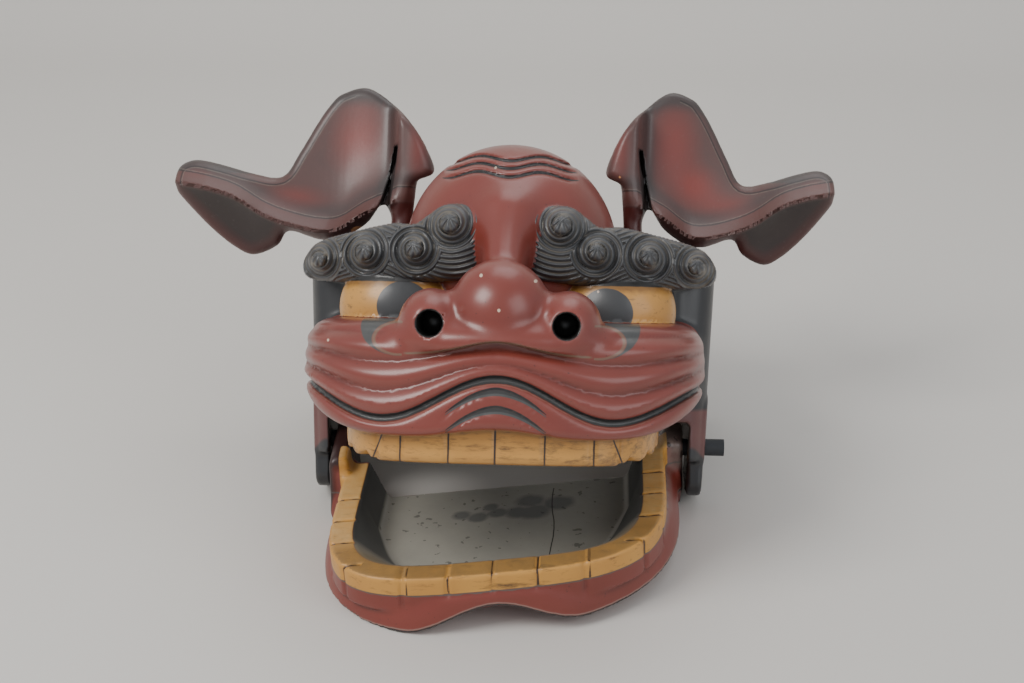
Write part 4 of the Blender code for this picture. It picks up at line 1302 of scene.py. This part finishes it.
# %% [markdown]
# ## The ears
#
# An ear is dark lacquer over wood with a worn brown rim. A painted highlight makes the middle of the leaf
# brighter red, and painted shade darkens it towards the edges. The underside of the wing is nearly black. The
# left ear has lost a chip at its lower rim.

# %% Ear finish
RIM_WIDTH = 0.0100
RIM_LINE = 0.0105

ear_finish, tree = start("ear_lacquer_shaded")
cloud = noise(tree, 26.0, 4.0, 0.6)
grain = noise(tree, 300.0, 3.0, 0.6)
over = painted(tree, "over") + (grain - 0.5) * 0.0008
colour = plain(tree, rgb(92, 62, 58)).mixed((cloud - 0.35).held() * 1.5, rgb(76, 56, 53))
# Painted highlight: brighter red spots in the middle of the leaf.
ear_highlight = (painted(tree, "ear_highlight") + (cloud - 0.5) * 0.6).held()
colour = colour.mixed(ear_highlight * 0.75, rgb(138, 58, 50))
# Painted shade: darker towards the edges, along the ridge and at the root.
shade = (painted(tree, "shade") + (cloud - 0.5) * 0.45).held()
colour = colour.mixed(shade * 0.80, rgb(58, 56, 55))
rim = ((over - RIM_WIDTH / 2).math("ABSOLUTE") - RIM_WIDTH / 2).inside(0.0025)
colour = colour.mixed(rim * (0.30 + cloud * 0.5), rgb(96, 58, 52))
seam = painted(tree, "seam")
line = (over - RIM_LINE).near(0.0005, 0.0006).either(seam.near(0.0005, 0.0006))
colour = colour.mixed(line * 0.75, rgb(28, 24, 24))
pale = (over - RIM_LINE - 0.0011).near(0.0004, 0.0006).either((seam - 0.0011).near(0.0004, 0.0006))
colour = colour.mixed(pale * (grain * 0.9 - 0.1).held(), rgb(122, 112, 102))
flap = over.below(-0.0022, 0.0024)
colour = colour.mixed(flap * 0.9, rgb(32, 23, 21))
colour = colour.mixed(flap * (painted(tree, "foot") + (cloud - 0.5) * 0.3).held() * 0.7, rgb(86, 30, 26))
colour = colour.mixed(painted(tree, "slot").inside(0.0010) * 0.9, rgb(22, 17, 16))
worn = (painted(tree, "roundness") * 1.5 - 0.30 + (grain - 0.5) * 0.6).held()
colour = colour.mixed(worn * 0.12, rgb(120, 88, 82))
dust = (noise(tree, 240.0, 4.0, 0.7) - 0.60).held() * 4.0
colour = colour.mixed(dust * 0.18, rgb(130, 122, 116))
chip = (painted(tree, "chip") + (cloud - 0.5) * 0.004).inside()
colour = colour.mixed(chip, rgb(206, 146, 92))
close(ear_finish, colour, 0.40 + grain * 0.14 + chip * 0.3, grain, bump=0.08, coat=0.35)
print("ear finish:", len(ear_finish.node_tree.nodes), "nodes")

# %% Ears
EAR_NET = 0.0019
BOTH_EAR_HIGHLIGHTS = ((1.0, (0.036, 0.092), (0.022, 0.034)), (0.7, (0.088, 0.040), (0.026, 0.012)),
             (0.8, (-0.014, 0.082), (0.009, 0.026)), (0.6, (0.162, 0.062), (0.014, 0.010)))
EAR_HIGHLIGHTS = {-1: BOTH_EAR_HIGHLIGHTS, 1: BOTH_EAR_HIGHLIGHTS + ((0.9, (0.058, 0.056), (0.020, 0.016)),)}


def soft_spot(u, v, centre, radii):
    return np.exp(-((u - centre[0]) / radii[0]) ** 2 - ((v - centre[1]) / radii[1]) ** 2)


def ear_paints(u, v, side):
    """The painted distances and soft spots of an ear, by name."""
    edge, over = ear_edge(u, v), above_ridge(u, v)
    # Soft spots of painted highlight, and a sum of painted shade along the top, the edge, the ridge and the
    # root.
    ear_highlight = sum(strength * soft_spot(u, v, centre, radii) for strength, centre, radii in EAR_HIGHLIGHTS[side])
    dark = 1.2 * np.exp(-((v - 0.130) / 0.011) ** 2) + 1.1 * np.exp(edge / 0.006) * (u > 0.02) * (v > 0.06)
    dark = dark + 0.8 * np.exp(-((over - 0.016) / 0.008) ** 2) + 0.9 * np.exp(-((u - 0.012) / 0.007) ** 2)
    if side < 0:
        chip = np.hypot((u - 0.032) / 1.9, v - 0.0150) - 0.0042
    else:
        chip = np.hypot(u + 0.0137, v - 0.0618) - 0.0012
    return {
        "ear_highlight": ear_highlight * 1.2 - 0.25, "shade": dark - 0.25, "over": over, "foot": 1 + edge / 0.012, "chip": chip,
        "seam": np.where((u > 0.040) & (v > 0.045), -edge - 0.0062, 1.0),
        "slot": np.maximum(ear_slot(u, v) - 0.0012, v - EAR_SLOT_TOP_Z - 0.001),
    }


def add_ear(side, label, stretch):
    """The ear's net is made once in its own frame, widened or narrowed, and set on its peg."""
    low, high = (-0.036, -0.030, -PEG_DEPTH - 0.004), (0.190, 0.050, 0.144)
    points, faces = net(fine_ear, low, high, EAR_NET)
    points, normals = settle(points, fine_ear, EAR_NET)
    paints = ear_paints(points[:, 0], points[:, 2], side)
    paints["roundness"] = roundness(points, fine_ear, 0.003)
    placed = points * np.array([side * stretch, 1, 1]) + np.array([side * PEG_X, PEG_Y, SHOULDER_Z])
    normals = normals / np.array([side * stretch, 1, 1])
    normals /= np.linalg.norm(normals, axis=1)[:, None]
    if side < 0:
        faces = faces[:, ::-1]
    add_piece(f"{label}_ear_carving", to_stand(*placed.T), faces, turned_to_stand(normals), paints,
              ear_finish, "head", [f"{label}_ear"])


add_ear(-1, "left", LEFT_EAR_STRETCH)
add_ear(1, "right", RIGHT_EAR_STRETCH)

# %% [markdown]
# ## The lower jaw
#
# The jaw's outside is the same red. Its lip has a dark edge line with a thin pale one over it, its arms are
# dark, and its right rim is worn down to grey. A line of dirt lies between the lip and the teeth.

# %% Jaw finish: lacquer and lip
jaw_finish, tree = start("jaw_lacquer_painted")
wobble = (noise(tree, 160.0, 3.0) - 0.5) * 0.0012
line = painted(tree, "edge_line") + wobble
colour = lacquer_red(tree).mixed((line - 0.0016).near(0.0005, 0.0006) * 0.8, rgb(150, 122, 112))
colour = colour.mixed(line.near(0.0010, 0.0006), rgb(50, 44, 42))
colour = colour.mixed(line.below(-0.0014, 0.0010) * 0.7, rgb(98, 36, 30))
arm = painted(tree, "arm").inside(0.0010)
colour = colour.mixed(arm, clouded(tree, rgb(62, 30, 28), rgb(40, 26, 25), 50.0, 4.0))
worn = painted(tree, "worn").held()
colour = colour.mixed(worn * (noise(tree, 90.0, 4.0, 0.7) * 1.8 - 0.2).held(), rgb(132, 114, 106))
spots = noise(tree, 190.0, 2.0).math("GREATER_THAN", 0.66)
colour = colour.mixed(worn * spots * 0.8, rgb(52, 44, 40))
gum = (painted(tree, "gum") + wobble * 2.0).near(0.0006, 0.0008)
colour = colour.mixed(gum * 0.9, rgb(88, 84, 78))
print("lacquer and lip take", len(jaw_finish.node_tree.nodes), "nodes")

# %% [markdown]
# ## The jaw's teeth and its tray
#
# The tops of the side teeth are rubbed pale, and those of the front teeth dull brown. The tray's floor is
# grey with dark rounded blotches and specks, its side walls are darker, and a long crack runs from back to
# front.

# %% Jaw finish: teeth and tray
front = painted(tree, "front")
gold_teeth = painted(tree, "teeth_edge").inside()
top = ((painted(tree, "up") - 0.80) / 0.12).held()
rubbed = (noise(tree, 80.0, 5.0, 0.7) * 2.4 - 0.9).held()
tooth = gold(tree, 0.06).mixed(top * (1 - front) * (0.25 + rubbed * 0.5), rgb(214, 184, 132))
tooth = tooth.mixed(top * front * (0.6 + rubbed * 0.3), rgb(124, 100, 64))
colour = colour.mixed(gold_teeth, tooth)
gap = (painted(tree, "gap") + wobble * 0.5).near(0.0008, 0.0006) * gold_teeth
colour = colour.mixed(gap, rgb(58, 40, 28))
tray = painted(tree, "tray").inside(0.0008)
cloud = noise(tree, 18.0, 5.0, 0.65)
grey = plain(tree, rgb(168, 164, 152)).mixed(cloud, rgb(134, 131, 122))
blots = (painted(tree, "blots") + (noise(tree, 60.0, 4.0, 0.7) - 0.5) * 0.7).held() * 2.0
grey = grey.mixed(blots.held() * 0.62, rgb(70, 72, 76))
grey = grey.mixed(noise(tree, 150.0, 2.0).math("GREATER_THAN", 0.68) * 0.6, rgb(64, 62, 58))
steep = painted(tree, "steep").held()
grey = grey.mixed(steep * (1 - front), plain(tree, rgb(70, 70, 66)).mixed(cloud, rgb(40, 40, 38)))
grey = grey.mixed(steep * front, rgb(120, 106, 80))
colour = colour.mixed(tray, grey)
crack = (painted(tree, "crack") + (noise(tree, 50.0, 3.0) - 0.5) * 0.002).near(0.0004, 0.0004) * tray
colour = colour.mixed(crack, rgb(30, 22, 18))
sheen = 0.34 + noise(tree, 25.0, 4.0) * 0.16 + tray * 0.22 + gold_teeth * 0.10
close(jaw_finish, colour, sheen, noise(tree, 230.0, 3.0, 0.6), bump=0.10, coat=0.2)
print("jaw finish:", len(jaw_finish.node_tree.nodes), "nodes")

# %% Lower jaw
JAW_NET = 0.0024
CRACK_X = 0.0362
JAW_GAP_LINES = (-0.0590, -0.0303, 0.0, 0.0308, 0.0662)
BLOTS = ((-0.033, -0.034, 0.0075), (-0.020, -0.039, 0.0080), (-0.006, -0.035, 0.0075),
         (0.010, -0.037, 0.010), (0.022, -0.038, 0.013), (0.040, -0.028, 0.012), (0.018, -0.022, 0.011),
         (-0.012, -0.026, 0.006))


def jaw_paints(points):
    """The painted distances of the jaw, by name."""
    x, y, z = points.T
    u, v, w = tray_frame(x, y, z)
    across = np.abs(u)
    forward, _, edge = jaw_edge(across, v)
    plan = jaw_teeth_plan(across, v)
    slope = tray_side(across, v, w, forward)
    arm_face = HEAD_WIDTH / 2 - WALL - ARM_CLEARANCE - ARM_THICK - 0.001
    teeth = np.maximum(np.maximum(plan - 0.0022, JAW_GUM_Z + 0.0008 - w), v - JAW_BACK_Y + 0.003)
    front_gaps = [np.abs(np.where(v < -0.125, u - gap, 9)) for gap in JAW_GAP_LINES]
    side_gaps = [np.abs(np.where(across > 0.09, v - gap, 9)) for gap in JAW_GAP_Y]
    wall = np.clip((u - 0.095) / 0.02, -1, 1) * np.clip((w - 0.024) / 0.008, 0, 1)
    return {
        "edge_line": np.where(plan > -0.03, w - edge - 0.0004, 1.0),
        "gum": w - JAW_GUM_Z - 0.0002,
        "gap": np.min(front_gaps + side_gaps, axis=0),
        "teeth_edge": np.maximum(teeth, 0.0012 - slope),
        "tray": np.maximum(slope - 0.0012, v - JAW_BACK_Y + 0.001),
        "blots": np.max([1.2 - np.hypot(u - a, (v - b) / 0.85) / r for a, b, r in BLOTS], axis=0),
        "arm": np.maximum(JAW_BACK_Y - ARM_LAP - v, arm_face - np.abs(x)),
        "steep": (w - TRAY_FLOOR_Z - 0.002) / 0.004,
        "front": np.clip((-0.105 - v) / 0.02, 0, 1),
        "worn": wall * (v > -0.11),
        "crack": np.where((v < -0.004) & (v > -0.106), u - CRACK_X - 0.0012 * np.sin(v * 70), 1.0),
    }


low = (-HEAD_WIDTH / 2, JAW_START_Y - JAW_REACH - 0.030, -0.008)
points, faces = net(fine_jaw, low, (HEAD_WIDTH / 2, 0.045, 0.070), JAW_NET)
points, normals = settle(points, fine_jaw, JAW_NET)
paints = jaw_paints(points)
paints["up"] = normals[:, 2]
paints["roundness"] = roundness(points, fine_jaw)
add_piece("jaw_carving", points + np.array([STAND_X, STAND_Y, 0]), faces, normals, paints, jaw_finish, "jaw",
          ["lower_jaw"])

# %% [markdown]
# ## The rod
#
# The rod keeps its solid, because a plain round rod is what it is. It only gets a painted finish: slate black
# with bare wood showing where it has been pushed in and out.

# %% Rod finish
rod_finish, tree = start("slate_rod")
worn = noise(tree, 90.0, 5.0, 0.7, stretch=(0.3, 1, 1))
colour = clouded(tree, rgb(62, 66, 70), rgb(42, 45, 48), 40.0, 4.0)
colour = colour.mixed((worn - 0.60).held() * 4.0, rgb(92, 84, 74))
close(rod_finish, colour, 0.5 + worn * 0.2, worn, bump=0.08)
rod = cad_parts["jaw_rod"]
rod.data.materials.clear()
rod.data.materials.append(rod_finish)

# %% [markdown]
# ## Floor, light and camera
#
# The head is seen from the front and above through a normal lens, in soft daylight from the left. It stands
# on a plain pale floor that bends up behind it, so no horizon cuts the picture. A large soft light stands at
# the left, a weaker one at the right and one behind, under an even sky.

# %% Floor
def add_floor():
    """A pale sheet that bends up into a wall."""
    depth, bend, top = 1.1, 0.35, 1.6
    profile = [(-2.5, 0.0), (depth, 0.0)]
    profile += [(depth + bend * sin(a), bend - bend * cos(a)) for a in np.linspace(0.15, pi / 2, 12)]
    profile.append((depth + bend, top))
    verts = [(x, y, z - 0.0002) for x in (-3.0, 3.0) for y, z in profile]
    n = len(profile)
    mesh = bpy.data.meshes.new("floor_sheet")
    mesh.from_pydata(verts, [], [(k, k + n, k + n + 1, k + 1) for k in range(n - 1)])
    mesh.polygons.foreach_set("use_smooth", np.ones(n - 1, bool))
    finish, _ = start("pale_floor")
    close(finish, rgb(214, 210, 204), 0.8)
    mesh.materials.append(finish)
    floor = bpy.data.objects.new("floor_sheet", mesh)
    bpy.context.scene.collection.objects.link(floor)


add_floor()
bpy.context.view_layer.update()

# %% Light
def add_light(name, place, target, size, watts, tint):
    """A square soft light that looks at the target."""
    lamp = bpy.data.lights.new(name, "AREA")
    lamp.size = size
    lamp.energy = watts
    lamp.color = tint
    holder = bpy.data.objects.new(name, lamp)
    holder.location = place
    holder.rotation_euler = (Vector(target) - Vector(place)).to_track_quat("-Z", "Y").to_euler()
    bpy.context.scene.collection.objects.link(holder)


middle = (0.0, -0.03, 0.13)
add_light("daylight", (-1.2, -0.9, 1.7), middle, 1.0, 30.0, (1.0, 0.98, 0.95))
add_light("room", (1.6, -1.3, 1.3), middle, 1.4, 12.0, (0.96, 0.98, 1.0))
add_light("back", (0.2, 1.0, 1.8), middle, 1.2, 8.0, (1.0, 1.0, 1.0))
sky = bpy.data.worlds.new("soft_sky")
sky.use_nodes = True
sky.node_tree.nodes["Background"].inputs["Color"].default_value = (0.92, 0.95, 1.0, 1.0)
sky.node_tree.nodes["Background"].inputs["Strength"].default_value = 0.55
bpy.context.scene.world = sky
print("three soft lights and a sky")

# %% [markdown]
# ## The camera
#
# The turn, the rise and the distance belong together: a nearer camera would make the jaw look longer. They
# were found by comparing the outline of the modelled head with that of the real one.

# %% Camera
CAMERA_TARGET = Vector((0.003 + STAND_X, STAND_Y, 0.14))
CAMERA_DISTANCE = 1.27
CAMERA_TURN = radians(3.0)
CAMERA_RISE = radians(26.0)
CAMERA_LENS_MM = 60.0
CAMERA_SENSOR_MM = 36.0
lens = bpy.data.cameras.new("camera")
lens.lens = CAMERA_LENS_MM
lens.sensor_width = CAMERA_SENSOR_MM
camera = bpy.data.objects.new("camera", lens)
back = Vector((sin(CAMERA_TURN) * cos(CAMERA_RISE), -cos(CAMERA_TURN) * cos(CAMERA_RISE), sin(CAMERA_RISE)))
camera.location = CAMERA_TARGET + back * CAMERA_DISTANCE
camera.rotation_euler = (-back).to_track_quat("-Z", "Y").to_euler()
bpy.context.scene.collection.objects.link(camera)
bpy.context.scene.camera = camera
print("the camera stands at", tuple(round(v, 3) for v in camera.location))
